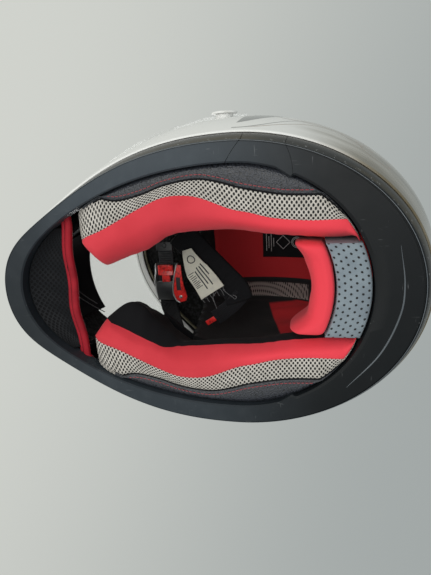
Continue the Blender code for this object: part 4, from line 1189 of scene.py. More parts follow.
def make_vents():
    """Chin vent, rear exhaust and crown vent: pillowed plates with louvre bars, and their sliding shutters."""
    spread = CHIN_VENT_HALF_WIDTH / SHELL_HALF_WIDTH
    plates = (
        ("chin_vent", "chin_vent_frame", 0.0, spread, 0.052, 0.013, 3),
        ("rear_exhaust", "rear_exhaust_grille", math.pi, EXHAUST_HALF_WIDTH / SHELL_HALF_WIDTH, 0.176, 0.014, 5),
    )
    for node, name, middle, half, z, tall, louvres in plates:
        v = np.linspace(-1, 1, 40)[:, None]
        u = np.linspace(-1, 1, 72)
        outline = np.sqrt(1 - 0.35 * v**4)
        angle = middle + half * u * outline
        height = z + tall * v * np.sqrt(1 - 0.25 * u**4)
        surface = shell_surface(height, angle, 0.0)
        out = shell_surface(height, angle, -0.01) - surface
        out /= np.linalg.norm(out, axis=-1, keepdims=True)
        slots = np.sin((v * 0.5 + 0.5) * np.pi * louvres) ** 2 * (np.abs(u) < 0.86) * (np.abs(v) < 0.9)
        if node == "chin_vent":
            slots = np.where(np.abs(u) < 0.36, 0.0, slots)
        front = surface + out * (0.0006 + VENT_RISE * pillow(u, v) * (1 - 0.75 * slots))[..., None]
        body = plate_between(front, surface + out * 0.0003)
        piece(name, body, ["black_plastic"], "shell", (node,))

    u = np.linspace(-1, 1, 48)
    v = np.linspace(-1, 1, 64)[:, None]
    x = CROWN_VENT_HALF_WIDTH * u * np.sqrt(1 - 0.3 * v**4) * (1 - 0.12 * v)
    y = CROWN_VENT_Y + CROWN_VENT_HALF_LENGTH * v * np.sqrt(1 - 0.3 * u**4)
    base = crown_surface(x, y)
    slots = np.sin((u * 0.5 + 0.5) * np.pi * 4) ** 2 * (np.abs(v + 0.45) < 0.32) * (np.abs(u) > 0.36)
    front = base + np.stack([0 * x, 0 * x, 0.0006 + CROWN_VENT_RISE * pillow(u, v) * (1 - 0.7 * slots)], -1)
    body = plate_between(front, base + [0, 0, 0.0003])
    piece("crown_vent_cover", body, ["black_plastic"], "shell", ("crown_vent",))

    for node, name, body, axis in (("chin_vent_slider", "chin_vent_shutter", "chin_shutter", 2),
                                   ("crown_vent_slider", "crown_vent_shutter", "crown_shutter", 1)):
        low, high = (np.array(corner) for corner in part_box(node))
        parts = [slab(low, high, 0.0006)]
        for k in (-1, 0, 1):
            a, b = low.copy(), high.copy()
            middle = (low[axis] + high[axis]) / 2 + k * 0.0011 * (2.2 if axis == 1 else 1)
            a[axis], b[axis] = middle - 0.0003, middle + 0.0003
            a[0], b[0] = low[0] + 0.0015, high[0] - 0.0015
            if axis == 1:
                a[2], b[2] = high[2] - 0.0004, high[2] + 0.0004
            else:
                a[1], b[1] = low[1] - 0.0004, low[1] + 0.0004
            parts.append(slab(a, b, 0.00012))
        piece(name, parts, ["black_plastic"], body, (node,))


def crown_surface(x, y, inset=0.0):
    """The shell's top over each x and y: the height at which an ellipse through its reaches meets the point."""
    x, y = np.broadcast_arrays(np.asarray(x, float), np.asarray(y, float))

    def covered(z):
        """True where the ellipse at this height still holds the point."""
        ahead = y < CENTRE_Y
        reach = np.where(ahead, CENTRE_Y - shell_surface(z, 0.0, inset)[..., 1],
                         shell_surface(z, math.pi, inset)[..., 1] - CENTRE_Y)
        side = shell_surface(z, math.pi / 2, inset)[..., 0]
        return (x / np.maximum(side, 1e-6)) ** 2 + ((y - CENTRE_Y) / np.maximum(reach, 1e-6)) ** 2 < 1

    z = bisect(np.full(x.shape, REAR_Z), np.full(x.shape, SHELL_HEIGHT - inset), covered)
    return np.stack([x, y, z], -1)


# ---------------------------------------------------------------- trim

def angle_of_trim(y):
    """The angle at which the trim's outer edge has this y, on its left side."""
    return float(bisect(0.2, 3.0, lambda a: trim_outline(a, 0.5)[1] < y))


# Share of the width, share of the flare and height of each row of the trim's section
TRIM_ROWS = (
    (1.0, 1.0, TRIM_TOP), (1.0, 0.8, TRIM_TOP * 0.75), (1.0, 0.35, 0.0048), (0.998, 0.08, 0.0026),
    (0.985, 0.0, 0.0014), (0.97, 0.0, 0.0008), (0.95, 0.0, 0.0002), (0.935, 0.0, 0.0002), (0.925, 0.0, 0.0010),
    (0.90, 0.0, 0.0010), (0.89, 0.0, 0.0), (0.6, 0.0, 0.0), (0.3, 0.0, 0.0),
    (0.07, 0.0, 0.0003), (0.0, 0.0, 0.0015), (0.0, 0.0, 0.006), (0.0, 0.0, TRIM_TOP),
)
TRIM_SHARES = np.array(TRIM_ROWS)[:, 0]
# The polished bevel's rows come first, and one row further in is the worn line
BEVEL_ROWS = 4
EDGE_LINE_ROW = 6


def trim_section(angle, fine=0.0):
    """Points of the trim's section round the ring: rows run over the outer bevel, the flat and the inner bevel."""
    rows = []
    for share, flare, z in TRIM_ROWS:
        x, y = trim_outline(angle, share, flare)
        rows.append(np.stack([x, y, np.full(angle.shape, z) + fine], -1))
    return np.array(rows)


def make_trim_ring():
    """The ring runs from one side of the access cover round to its other side; the cover is a short piece of the
    same section, set back by the seam. Both seams slant: the cover is longer at the inner edge."""
    low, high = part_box("trim_access_cover")
    ring, cover = [], []
    for row, share in enumerate(TRIM_SHARES):
        start = angle_of_trim(low.y - 0.003 + 0.010 * share)
        end = angle_of_trim(high.y + 0.012 - 0.018 * share)
        ring.append(trim_section(np.linspace(end + COVER_SEAM, TAU + start - COVER_SEAM, 300))[row])
        cover.append(trim_section(np.linspace(start, end, 60), 0.0003)[row])
    for name, points, nodes in (("trim_ring", ring, ("base_trim",)),
                                ("trim_cover", cover, ("trim_access_cover",))):
        points = np.swapaxes(np.array(points), 0, 1)
        y = points[..., 1]
        tooth = 0.0030 * np.clip((y - 0.0485) / 0.0095, 0, 1) * np.clip((0.0605 - y) / 0.0020, 0, 1)
        points[..., 0] -= np.sign(points[..., 0]) * tooth * (TRIM_SHARES < 0.1)
        rows = np.arange(points.shape[1])
        kinds = np.where(rows < BEVEL_ROWS, 1, np.where(rows == EDGE_LINE_ROW, 2, 0))
        patch = Patch(points, *CAPPED, np.broadcast_to(kinds, (len(points) - 1, len(rows))))
        piece(name, patch, ["satin_trim", "gloss_bevel", "pale_edge"], "shell", nodes,
              crease=25)
    # The rear ridge takes the pale edge finish as a painted highlight along it
    path = spline([(0.034, 0.130, 0), (0.007, 0.134, 0), (-0.016, 0.132, 0), (-0.045, 0.120, 0),
                   (-0.072, 0.098, 0)], 80)
    ridge = sweep(path, circle(0.0007, 8)[None] * np.sin(np.linspace(0.15, 2.9, 80))[:, None, None], (0, 0, 1))
    piece("trim_ridge", Patch(ridge, *CAPPED), ["pale_edge"])
    angle = np.linspace(-0.5, 0.35, 60)
    edge = trim_section(angle)[1] * [1.012, 1.009, 1.0] + [0, 0, 0.001]
    bead = sweep(edge, circle(0.0013, 10)[None] * np.cos(np.linspace(-1.45, 1.45, 60))[:, None, None], (0, 0, 1))
    piece("shell_foot_bead", Patch(bead, *CAPPED), ["white_paint"])


# ---------------------------------------------------------------- pads

def resampled(controls, counts):
    """A smooth closed section for each station: a Catmull-Rom curve round the control points, vectorised over
    the stations. counts is how many samples each stretch gets."""
    before, after, beyond = (np.roll(controls, shift, 1) for shift in (1, -1, -2))
    runs = []
    for k, count in enumerate(counts):
        t = np.linspace(0, 1, count, endpoint=False)[:, None]
        runs.append(between(*(v[:, k : k + 1] for v in (before, controls, after, beyond)), t))
    return np.concatenate(runs, 1)


def follow(points, y):
    """x of a given seam line at each y, through (y, x) points in millimetres."""
    points = np.array(points, float)
    line = spline(points, 200)
    return np.interp(y * 1000, line[:, 0], line[:, 1]) * MM


# Where the seams of the pads run: (y, x) in millimetres, on the left pad
MESH_SEAM = ((-110, 38), (-104, 41), (-98, 44), (-84, 49), (-67, 57), (-50, 65), (-34, 71), (-19, 72), (-5, 69.5),
             (15, 61.5), (30, 58), (43, 54.5), (57, 52.5), (71, 51.5), (84, 51.5), (110, 52))
LEATHER_SEAM = ((-110, 74), (-102, 74), (-90, 74.5), (-84, 73.5), (-74, 71), (-65, 71), (-49, 74.5), (-34, 79.5),
                (-18, 82.5), (-4, 83), (10, 80), (23, 76), (37, 73), (51, 70.5), (64, 69.5), (85, 69), (110, 69))
LIP_RIGHT = ((-110, 45), (-101, 31), (-90, 22), (-78, 17), (-67, 21), (-60, 30), (-54, 36), (-43, 45), (-34, 50),
             (-26, 49), (-1, 47), (32, 45), (64, 41), (110, 37))
LIP_LINE = ((-110, 50), (-107, 40), (-103, 32), (-98, 24.5), (-94, 20.5), (-90, 19), (-80, 22.5), (-71, 26),
            (-54, 32), (-37, 41), (-22, 44), (-6, 45), (8, 45), (22, 44), (36, 42), (50, 40), (64, 38.5),
            (78, 37.5), (110, 36.5))
# How far the inner face leans outwards at the top, and where red meets black on the right pad
LEAN = ((-110, 4), (-98, 6), (-88, 16), (-78, 27), (-60, 30), (-30, 26), (0, 24), (60, 16), (110, 8))
BLACK_EDGE = ((-110, 20), (-95, 26), (-81, 32), (-69, 38), (-59, 43), (-44, 49.5), (-26, 49), (-1, 47), (32, 45),
              (64, 41), (110, 37))


def pad_section(y, side):
    """Control points (x, z) of a cheek pad's section at each y, from the outer face over the bottom to the lip and
    up the inner face, which leans away from the face the more the higher it goes. The upper part of the outer face
    reaches over the trim's edge."""
    outer = trim_inner_x(y, 0.0004)
    lip = np.minimum(follow(LIP_LINE if side > 0 else LIP_RIGHT, y), outer - 0.007)
    edge = lip if side > 0 else np.minimum(np.maximum(follow(BLACK_EDGE, y), lip), outer - 0.006)
    mesh = np.minimum(np.maximum(follow(MESH_SEAM, y), edge + 0.004), outer - 0.003)
    hide = np.minimum(np.maximum(follow(LEATHER_SEAM, y), mesh + 0.0015), outer - 0.0013)
    share = np.clip((y - PAD_FRONT_Y) / (PAD_REAR_Y - PAD_FRONT_Y), 0, 1)
    top = PAD_TOP - 0.035 * share**2
    lean = follow(LEAN, y)
    apart = np.clip((edge - lip) / 0.006, 0, 1)
    rows = (
        (outer + 0.004, top - 0.012), (outer + 0.004, 0.045 + 0 * y), (outer + 0.003, TRIM_TOP + 0.004 + 0 * y),
        (outer - 0.0006, 0.0065 + 0 * y), (hide, 0.0056 + 0 * y), (mesh, 0.0052 + 0 * y),
        (edge + (mesh - edge) * 0.45, 0.0078 + 0 * y), (edge + 0.0012, 0.0180 - 0.005 * apart),
        (lip, 0.026 + 0.004 * apart), (lip + lean * 0.25, 0.042 + 0 * y), (lip + lean * 0.85, top - 0.010),
        (np.minimum(lip + lean + 0.006, outer - 0.008), top), (np.maximum(outer - 0.010, lip + lean + 0.004), top),
    )
    return np.stack([np.stack([side * a, b], -1) for a, b in rows], 1)


PAD_COUNTS = (6, 5, 5, 12, 14, 12, 9, 7, 8, 8, 6, 6, 6)


def make_cheek_pads():
    """A pad on each side: its section follows the seams, swells between them and closes round at both ends."""
    t = np.sin(np.linspace(-1, 1, 180) * np.pi / 2)
    starts = np.cumsum([0, *PAD_COUNTS])
    for side, word in ((1, "left"), (-1, "right")):
        y = (PAD_FRONT_Y + PAD_REAR_Y) / 2 + (PAD_REAR_Y - PAD_FRONT_Y) / 2 * t
        section = resampled(pad_section(y, side), PAD_COUNTS)
        swell = np.zeros(section.shape[1])
        for first, last, height in ((3, 4, 0.0009), (4, 5, 0.0013), (5, 7, 0.0014)):
            s = np.linspace(0, 1, starts[last] - starts[first], endpoint=False)
            swell[starts[first] : starts[last]] = height * (4 * s * (1 - s)) ** 0.55
        columns = np.arange(section.shape[1])
        across = columns / section.shape[1] * TAU
        ripple = np.sin(y * 95 + side) * np.sin(y * 41) * 0.0005 + np.sin(y * 610) * 0.00022 * np.sin(y * 33) ** 2
        lip_zone = np.exp(-(((columns - starts[8]) / 12.0) ** 2))
        section[..., 1] -= swell * (1 + 0.25 * np.sin(y * 60)[:, None])
        section[..., 0] += side * (ripple[:, None] * lip_zone + 0.0002 * np.sin(3 * across))
        if side > 0:
            tuck = 0.0045 * np.exp(-(((y + 0.078) / 0.020) ** 2))[:, None]
            section[..., 0] -= tuck * np.exp(-(((columns - starts[9]) / 5.0) ** 2))
        end = (1 - np.abs(t) ** 24) ** (1 / 3.2)
        middle = section[:, starts[3] : starts[11]].mean(1, keepdims=True)
        middle[..., 1] = 0.040
        grow = np.where(t < 0, end, np.maximum(end, 0.5 * (t > 0.99)))
        section = middle + (section - middle) * grow[:, None, None]
        y_grid = np.broadcast_to(y[:, None], section.shape[:2])
        points = np.stack([section[..., 0], y_grid, section[..., 1]], -1)
        kinds = np.zeros((len(y) - 1, section.shape[1]), int)
        kinds[:, starts[4] : starts[5]] = 1
        red_end = starts[8] if side > 0 else starts[7]
        kinds[:, starts[5] : red_end] = 2
        kinds[:, red_end:] = 3
        front = (y[:-1] < -0.0985 + 0.010 * (side < 0))[:, None] & (columns >= starts[2]) & (columns < starts[5])
        kinds = np.where(front, 1, kinds)
        pad = piece(
            "cheek_pad_cover_" + word,
            Patch(points, *CAPPED, kinds, lengths_uv(points, True)),
            ["leather", "spacer_mesh", "red_cloth", "black_cloth"], "shell", ("cheek_pad_" + word,),
        )
        make_stitches(side, word)
        make_seam_cords(side, word)


def welt_x(y):
    """x of the seam between leather and mesh at each y: the leather's own line, or the mesh's line and a gap where
    that lies further out."""
    return np.maximum(follow(LEATHER_SEAM, y), follow(MESH_SEAM, y) + SEAM_GAP)


def make_stitches(side, word):
    """Red thread dashes along the leather, a little outside its seam with the mesh."""
    y = np.arange(-0.078, 0.086, sizes().stitch_pitch)
    seam = welt_x(y) + sizes().stitch_inset
    edge = trim_inner_x(y, 0.0)
    keep = seam < edge - 0.002
    y, seam, edge = y[keep], seam[keep], edge[keep]
    depth = np.clip((edge - seam) / 0.016, 0, 1)
    places = np.stack([side * seam, y, 0.0048 - 0.0002 * depth], -1)
    along, across, up = frames_along(places, (0, 0, 1))
    length = sizes().stitch_length / 2
    t = np.linspace(-1, 1, 7)
    path = np.stack([t * length, 0 * t, 0.0004 * (t**2 - 1)], -1)
    dash = tube(path, circle(0.00030, 8), uv=False)
    stitches = dash.repeated(places, np.stack([along, across, up], -1))
    piece("stitches_" + word, stitches, ["red_thread"])


def make_seam_cords(side, word):
    """A thin rolled welt in the groove between the leather and the mesh."""
    y = np.linspace(-0.088, 0.094, 140)
    x = np.minimum(welt_x(y), trim_inner_x(y, TRIM_GAP) - 0.0015)
    path = np.stack([side * x, y, np.full(len(y), 0.0053)], -1)
    piece("seam_welt_" + word, tube(path, circle(0.0007, 8)), ["black_cloth"])


def make_neck_roll():
    """Neck roll: a padded section carried along the rear edge, with folds that fade towards its ends."""
    x = np.linspace(-1, 1, 91) * (ROLL_HALF_WIDTH - 0.0003)
    near = ROLL_INNER_Y - ROLL_SAG * (x / ROLL_HALF_WIDTH) ** 2
    far = near + ROLL_DEPTH
    near = near - 0.009 * smooth(0.55, 1.0, -x / ROLL_HALF_WIDTH) - 0.005 * smooth(0.6, 1.0, x / ROLL_HALF_WIDTH)
    fold = np.sin(x * 210 + 0.6) * 0.0009 + np.sin(x * 95 + 2.0) * 0.0014
    low = 0.0048 + 0 * x
    rows = (
        (far - 0.0006, 0.048 + 0 * x), (far, 0.020 + 0 * x), (far - 0.0006, low + 0.003), (far - 0.004, low),
        (near + 0.009, low + 0.0006), (near + 0.0035, low + 0.004), (near + fold * 0.3, low + 0.012),
        (near + fold, 0.026 + 0 * x), (near + 0.001 + fold, 0.040 + 0 * x), (near + 0.006, 0.0495 + 0 * x),
    )
    controls = np.stack([np.stack([a, b], -1) for a, b in rows], 1)
    section = resampled(controls, (5, 6, 6, 9, 7, 7, 8, 8, 6, 6))
    t = x / ROLL_HALF_WIDTH
    end = (1 - np.abs(t / t.max()) ** 22) ** (1 / 3.5)
    middle = section.mean(1, keepdims=True)
    section = middle + (section - middle) * np.maximum(end, 0.02)[:, None, None]
    points = np.stack([np.broadcast_to(x[:, None], section.shape[:2]), section[..., 0], section[..., 1]], -1)
    roll = piece("neck_roll_cover", Patch(points, *CAPPED, uv=lengths_uv(points, True)),
                 ["red_cloth"], "shell", ("neck_roll",))


def make_neck_panel():
    """Neck panel: a slightly crowned sheet of spacer cloth from the roll's seam to the trim, with deep sides."""
    u = np.linspace(-1, 1, 73)
    v = np.linspace(0, 1, 41)[:, None]
    x = (ROLL_HALF_WIDTH - 0.0004) * u
    start = ROLL_INNER_Y + ROLL_DEPTH + 0.0012 - ROLL_SAG * u**2
    end = trim_inner_y(x, TRIM_GAP, True)
    y = start + (end - start) * v
    crown = 0.0016 * ((1 - u**8) * (1 - (2 * v - 1) ** 8)) ** 0.5
    bottom = np.stack([np.broadcast_to(x, y.shape), y, 0.0062 - crown + 0 * y], -1)
    deep = bottom[[-1, -1, 0, 0]].copy()
    deep[0, :, 2], deep[1, :, 2], deep[2, :, 2], deep[3, :, 2] = 0.010, 0.048, 0.048, 0.010
    points = np.concatenate([bottom, deep], 0)
    uv = lengths_uv(np.swapaxes(points, 0, 1), True)
    panel = piece("neck_panel_cover", Patch(np.swapaxes(points, 0, 1), *CAPPED, uv=uv),
                  ["panel_cloth"], "shell", ("neck_panel",))


# ---------------------------------------------------------------- chin curtain and guard

def make_chin_curtain():
    """Chin curtain: a sheet from the trim's tip to the piping, rising a little, with slack between them."""
    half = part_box("chin_curtain")[1].x
    u = np.linspace(-1, 1, 81)
    v = np.linspace(0, 1, 41)[:, None]
    x = half * u
    start = trim_inner_y(x, TRIM_GAP, False)
    end = CURTAIN_EDGE_Y + CURTAIN_BOW * u**2 - 0.0030
    y = start + (end - start) * v
    slack = 0.0030 * np.sin(np.pi * v) * (1 - u**4)
    z = 0.0085 + 0.0045 * v + slack + 0.0004 * np.sin(u * 17 + v * 5) * v
    points = np.stack([np.broadcast_to(x, y.shape), y, z], -1)
    curtain = piece("curtain_mesh", Patch(points, uv=lengths_uv(points), facing=(0, 0, -1)), ["air_mesh"], "shell",
                    ("chin_curtain",))
    solidify(curtain, CURTAIN_WALL)
    width, length = 2 * half, float((end - start).max())
    area = float((end - start).mean() * width)


def make_piping():
    """Piping: two red rolls side by side with a dark seam between them, along the curtain's free edge."""
    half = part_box("curtain_piping")[1].x
    x = np.linspace(-0.072, 0.060, 121)
    u = np.clip(x / half, -1, 1)
    y = CURTAIN_EDGE_Y + CURTAIN_BOW * u**2 + 0.0008 * np.sin(u * 7 + 0.8) + 0.009 * smooth(0.058, 0.072, -x)
    z = 0.0130 + 0.0006 * np.sin(u * 5) + 0.002 * (1 - u**2) * 0.3
    path = np.stack([x, y, z], -1)
    wide = circle(0.0030, 18, 0.95)
    thin = circle(0.0019, 14, 0.95)
    main = tube(path, wide)
    side = tube(path + [0, -0.0040, 0.0002], thin)
    seam = tube(path + [0, -0.0022, -0.0011], circle(0.0007, 8), kind=1)
    piece("piping", [main, side, seam], ["piping_cloth", "black_cloth"], "shell", ("curtain_piping",))


def make_breath_guard():
    """Breath guard: a thin moulding behind the chin bar with two raised grey lines."""
    low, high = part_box("breath_guard")
    u = np.linspace(-GUARD_HALF_ANGLE, GUARD_HALF_ANGLE, 61)
    v = np.linspace(0, 1, 25)[:, None]
    z = low.z + (high.z - low.z) * v * (1 - 0.10 * (u / GUARD_HALF_ANGLE) ** 2)
    points = shell_surface(z, u[None], GUARD_INSET)
    guard = piece("chin_guard", Patch(points, facing=(0, 1, 0)), ["black_cloth"], "shell", ("breath_guard",))
    solidify(guard, GUARD_WALL)
    lines = []
    t = np.linspace(0, 1, 40)
    for shift in (0.0, -0.0085):
        place = front_point(0.008 + shift - 0.042 * t, 0.042 + 0.036 * t, GUARD_INSET + 0.0003)
        lines.append(tube(place, circle(0.00045, 8), uv=False))
    piece("chin_guard_lines", lines, ["grey_thread"])


# ---------------------------------------------------------------- linings

def make_crown_lining():
    """Crown lining: the shell's outline moved in, with sewn channels pressed into it and its front cut away."""
    rise = np.sin(np.linspace(0, 1, 90, endpoint=False) * np.pi / 2)
    angle = np.linspace(0, TAU, 200, endpoint=False)
    bottom = 0.097 - 0.019 * smooth(0.75, 0.98, -np.cos(angle))
    top = SHELL_HEIGHT - CROWN_INSET
    z = bottom[None] + (top - bottom)[None] * rise[:, None]
    points = shell_surface(z, angle[None], CROWN_INSET)
    x, y = points[..., 0], points[..., 1]
    channel = np.exp(-((np.abs(x) - 0.0415) / 0.0022) ** 2) + np.exp(-((np.abs(x) - 0.059) / 0.0018) ** 2)
    channel += np.exp(-((y + 0.037) / 0.0022) ** 2) * (np.abs(x) < 0.045)
    folds = np.sin(z * 240 + y * 70) * np.exp(-((y - 0.060) / 0.035) ** 2) * (z < 0.165) * 0.0012
    normal = points - np.array([0, CENTRE_Y, 0.10])
    normal /= np.linalg.norm(normal, axis=-1, keepdims=True)
    points = points + normal * (0.0022 * np.minimum(channel, 1) + folds)[..., None]
    lining = Patch(points, (False, True), (False, True))
    lining.open_up(lambda p: (p[:, 1] < -0.044) & (p[:, 2] < 0.189), lambda p: p)
    shown = piece("crown_lining", lining, ["crown_cloth"], "shell", ("crown_liner",))
    solidify(shown, LINING_WALL, 1.0)


def make_crown_label():
    """A black woven label on the lining, with a generic ring, diamond and bars in pale thread."""
    def on_lining(x, y, lift):
        """Points just below the crown lining, by a lift."""
        return crown_surface(x, y, CROWN_INSET) - np.array([0, 0, lift])

    u = np.linspace(-0.0165, 0.0175, 25)
    v = np.linspace(0.019, 0.070, 37)[:, None]
    back = on_lining(u + 0 * v, v + 0 * u, 0.0012)
    cloth = piece("crown_label", Patch(back, uv=lengths_uv(back), facing=(0, 0, -1)), ["black_cloth"])
    solidify(cloth, LABEL_WALL)
    marks = []
    a = np.linspace(0, TAU, 48, endpoint=False)
    for radius, y in ((0.0062, 0.059), (0.0048, 0.059)):
        line = on_lining(0.001 + radius * np.cos(a), y + radius * np.sin(a), 0.0015)
        marks.append(tube(line, circle(0.00035, 6), closed=True, uv=False))
    corner = np.array([[0.008, 0], [0, 0.008], [-0.008, 0], [0, -0.008], [0.008, 0]])
    t = np.linspace(0, 4, 49)
    x = np.interp(t, range(5), corner[:, 0])[:-1]
    y = np.interp(t, range(5), corner[:, 1])[:-1]
    marks.append(tube(on_lining(0.001 + x, 0.043 + y, 0.0015), circle(0.00035, 6), closed=True, uv=False))
    for k, length in enumerate((0.020, 0.014, 0.022, 0.010)):
        t = np.linspace(-0.5, 0.5, 12) * length
        marks.append(tube(on_lining(0.001 + t, 0.0235 + 0.0028 * k + 0 * t, 0.0015), circle(0.0004, 6), uv=False))
    piece("crown_label_marks", marks, ["label_thread"])


def make_foam_liners():
    """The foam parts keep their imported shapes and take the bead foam's finish."""
    for node in ("impact_liner", "chin_liner", "cheek_core_left", "cheek_core_right"):
        refinish(node, "foam")


# ---------------------------------------------------------------- straps

def strap(path, width, wall):
    """Webbing: a flat bar with round edges, carried along a path."""
    return tube(path, rounded_bar(width, wall, wall * 0.45, 4))


def make_straps():
    """Both chin straps. The left one ends at the rack and is left without a parent."""
    right = spline([(-0.098, -0.060, 0.1025), (-0.080, -0.064, 0.110), (-0.066, -0.074, 0.130),
                    (BUCKLE_LOW.x - 0.0076, -0.080, 0.138), (BUCKLE_LOW.x - 0.0016, -0.080, 0.138)], 60)
    parts = [strap(right, 0.0192, 0.0028)]
    for k in range(5):
        at = right[30 + 3 * k]
        across = np.linspace(-0.0088, 0.0088, 9)
        rib = np.stack([at[0] + 0 * across, at[1] + across, at[2] - 0.0014 + 0 * across], -1)
        parts.append(tube(rib, circle(0.00055, 6)))
    piece("webbing_right", parts, ["webbing"], "shell", ("chin_strap_right",))

    fold = spline([(-0.058, -0.079, 0.1075), (-0.070, -0.0645, 0.1060), (-0.085, -0.047, 0.1060)], 40)
    piece("webbing_fold", strap(fold, 0.0150, 0.0030), ["webbing"])

    end = np.array([RACK_HIGH.x - 0.004, BUCKLE_MIDDLE_Y, RACK_LOW.z - 0.0018])
    left = spline([(0.098, -0.060, 0.1025), (0.080, -0.062, 0.110), (0.062, -0.070, 0.124),
                   (RACK_HIGH.x + 0.016, -0.0785, 0.1345), (RACK_HIGH.x + 0.006, -0.080, end[2]), tuple(end)], 90)
    web = tube(left, rounded_bar(0.0185, 0.0026, 0.0012, 4))
    obj = piece_free("webbing_left", web, ["webbing"], ("chin_strap_left",))
    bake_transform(obj)


def piece_free(name, patch, finishes, replaces):
    """A piece with no parent."""
    obj = piece(name, patch, finishes, "shell", replaces)
    obj.parent = None
    obj.matrix_world = Matrix.Identity(4)
    del obj["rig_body"]
    return obj


def make_sleeve():
    """Padded strap sleeve: a soft bar with quilted folds, pinched at both ends, and its turned-down end."""
    path = spline([(0.030, -0.054, 0.106), (0.022, -0.046, 0.109), (0.006, -0.033, 0.1115),
                   (-0.012, -0.017, 0.1125), (-0.030, 0.000, 0.1105), (-0.040, 0.004, 0.104)], 110)
    t = np.linspace(-1, 1, len(path))
    base = rounded_bar(0.029, 0.0058, 0.0027, 5)
    puff = (1 - np.abs(t) ** 10) ** 0.4 * 0.35 + 0.65
    fold = 1 + 0.10 * np.sin(t * 26) * np.exp(-(t * 1.1) ** 2) + 0.06 * np.sin(t * 61)
    profile = base[None] * np.stack([0.55 + 0.45 * puff, puff * fold], -1)[:, None]
    points = sweep(path, profile, (0, 0, 1))
    sleeve = piece("strap_sleeve_cover", Patch(points, *CAPPED, uv=lengths_uv(points, True)),
                   ["black_cloth"], "shell", ("strap_sleeve",))

    tail = spline([(-0.034, 0.006, 0.108), (-0.044, -0.004, 0.1055), (-0.052, -0.014, 0.1045),
                   (-0.057, -0.021, 0.1035)], 40)
    piece("sleeve_tail", strap(tail, 0.016, 0.0024), ["webbing"])
    low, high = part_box("strap_end_tab")
    level = (low.z + high.z) / 2
    line = spline([(-0.064, -0.031, level), (-0.060, -0.0245, level), (-0.0565, -0.018, level)], 12)
    plate = tube(line, rounded_bar(0.0052, high.z - low.z, 0.0009))
    rivet = turned([0.0020, 0.0020, 0.0016, 0.0008], [0.0, 0.0004, 0.0008, 0.0010],
                   (-0.0590, -0.0225, low.z + 0.0002), (0, 0, -1), 24)
    piece("end_tab", [plate, rivet], ["red_plastic"], "shell", ("strap_end_tab",))


def make_care_tag():
    """Care tag: a strip of tape on the sleeve with a curled free end, generic bars and a ring, and loose
    threads."""
    path = spline([(0.014, -0.0455, 0.1030), (0.004, -0.0425, 0.1046), (-0.0075, -0.0375, 0.1056),
                   (-0.020, -0.029, 0.1060), (-0.0305, -0.0225, 0.1056)], 60)
    along, across, up = frames_along(path, (0, 0, 1))
    share = np.linspace(0, 1, 60)
    half = np.interp(share, (0, 0.47, 1), (0.0048, 0.0122, 0.0140))
    u = np.linspace(-1, 1, 17)
    curl = 0.0014 * (u**2)[None] * np.linspace(0.2, 1, 60)[:, None]
    grid = path[:, None] + (half[:, None] * u)[..., None] * across[:, None] - curl[..., None] * up[:, None]
    tag = piece("care_tag_cloth", Patch(grid, uv=lengths_uv(grid), facing=(0, 0, -1)), ["white_cloth"], "shell",
                ("care_tag",))
    solidify(tag, TAG_WALL)

    def on_tag(s, a):
        """A point at share a of the half width across the tag and share s along it, just proud of its face."""
        s, a = np.broadcast_arrays(np.asarray(s, float), np.asarray(a, float))
        at = s * (len(path) - 1)
        k = np.clip(at.astype(int), 0, len(path) - 2)
        f = (at - k)[:, None]
        middle = path[k] * (1 - f) + path[k + 1] * f
        wide = np.interp(s, share, half)
        lift = 0.0003 + 0.0014 * a**2 * (0.2 + 0.8 * s)
        return middle + (a * wide)[:, None] * across[k] - lift[:, None] * up[k]

    t = np.linspace(0, 1, 8)
    marks = []
    for k in range(9):
        reach = 0.52 - 0.16 * (k % 3 == 1)
        marks.append(tube(on_tag(0.46 + 0.038 * k, -0.86 + reach * t), circle(0.00036, 6), uv=False))
    for k, (a, b) in enumerate(((0.36, 0.66), (0.40, 0.86), (0.40, 0.80), (0.46, 0.88))):
        marks.append(tube(on_tag(a + (b - a) * t, 0.62 - 0.27 * k), circle(0.00062, 6), uv=False))
    turn = np.linspace(0, TAU, 32, endpoint=False)
    ring = on_tag(0.21 + 0.075 * np.cos(turn), 0.45 * np.sin(turn))
    marks.append(tube(ring, circle(0.0005, 6), closed=True, uv=False))
    piece("care_tag_marks", marks, ["ink"])

    threads = []
    for k in range(7):
        s = k / 6
        root = path[-1] + across[-1] * (-0.0125 + 0.025 * s) - up[-1] * 0.0012 * (2 * s - 1) ** 2
        tip = root + along[-1] * (0.004 + 0.0022 * ((k * 7) % 3)) + np.array([0, 0, -0.001 + 0.0006 * (k % 2)])
        middle = (root + tip) / 2 + across[-1] * 0.0006 * ((k % 3) - 1)
        threads.append(tube(spline([root, middle, tip], 10), circle(THREAD_RADIUS, 6), uv=False))
    for line in (((-0.027, -0.012, 0.1045), (-0.031, -0.007, 0.1030), (-0.034, -0.003, 0.1035),
                  (-0.0365, 0.0, 0.1030), (-0.034, 0.0015, 0.1030), (-0.0325, -0.002, 0.1035)),
                 ((-0.030, -0.019, 0.1045), (-0.034, -0.022, 0.1030), (-0.041, -0.0205, 0.1025),
                  (-0.047, -0.019, 0.1035))):
        threads.append(tube(spline(line, 40), circle(THREAD_RADIUS, 6), uv=False))
    piece("tag_threads", threads, ["grey_thread"])


# ---------------------------------------------------------------- buckle

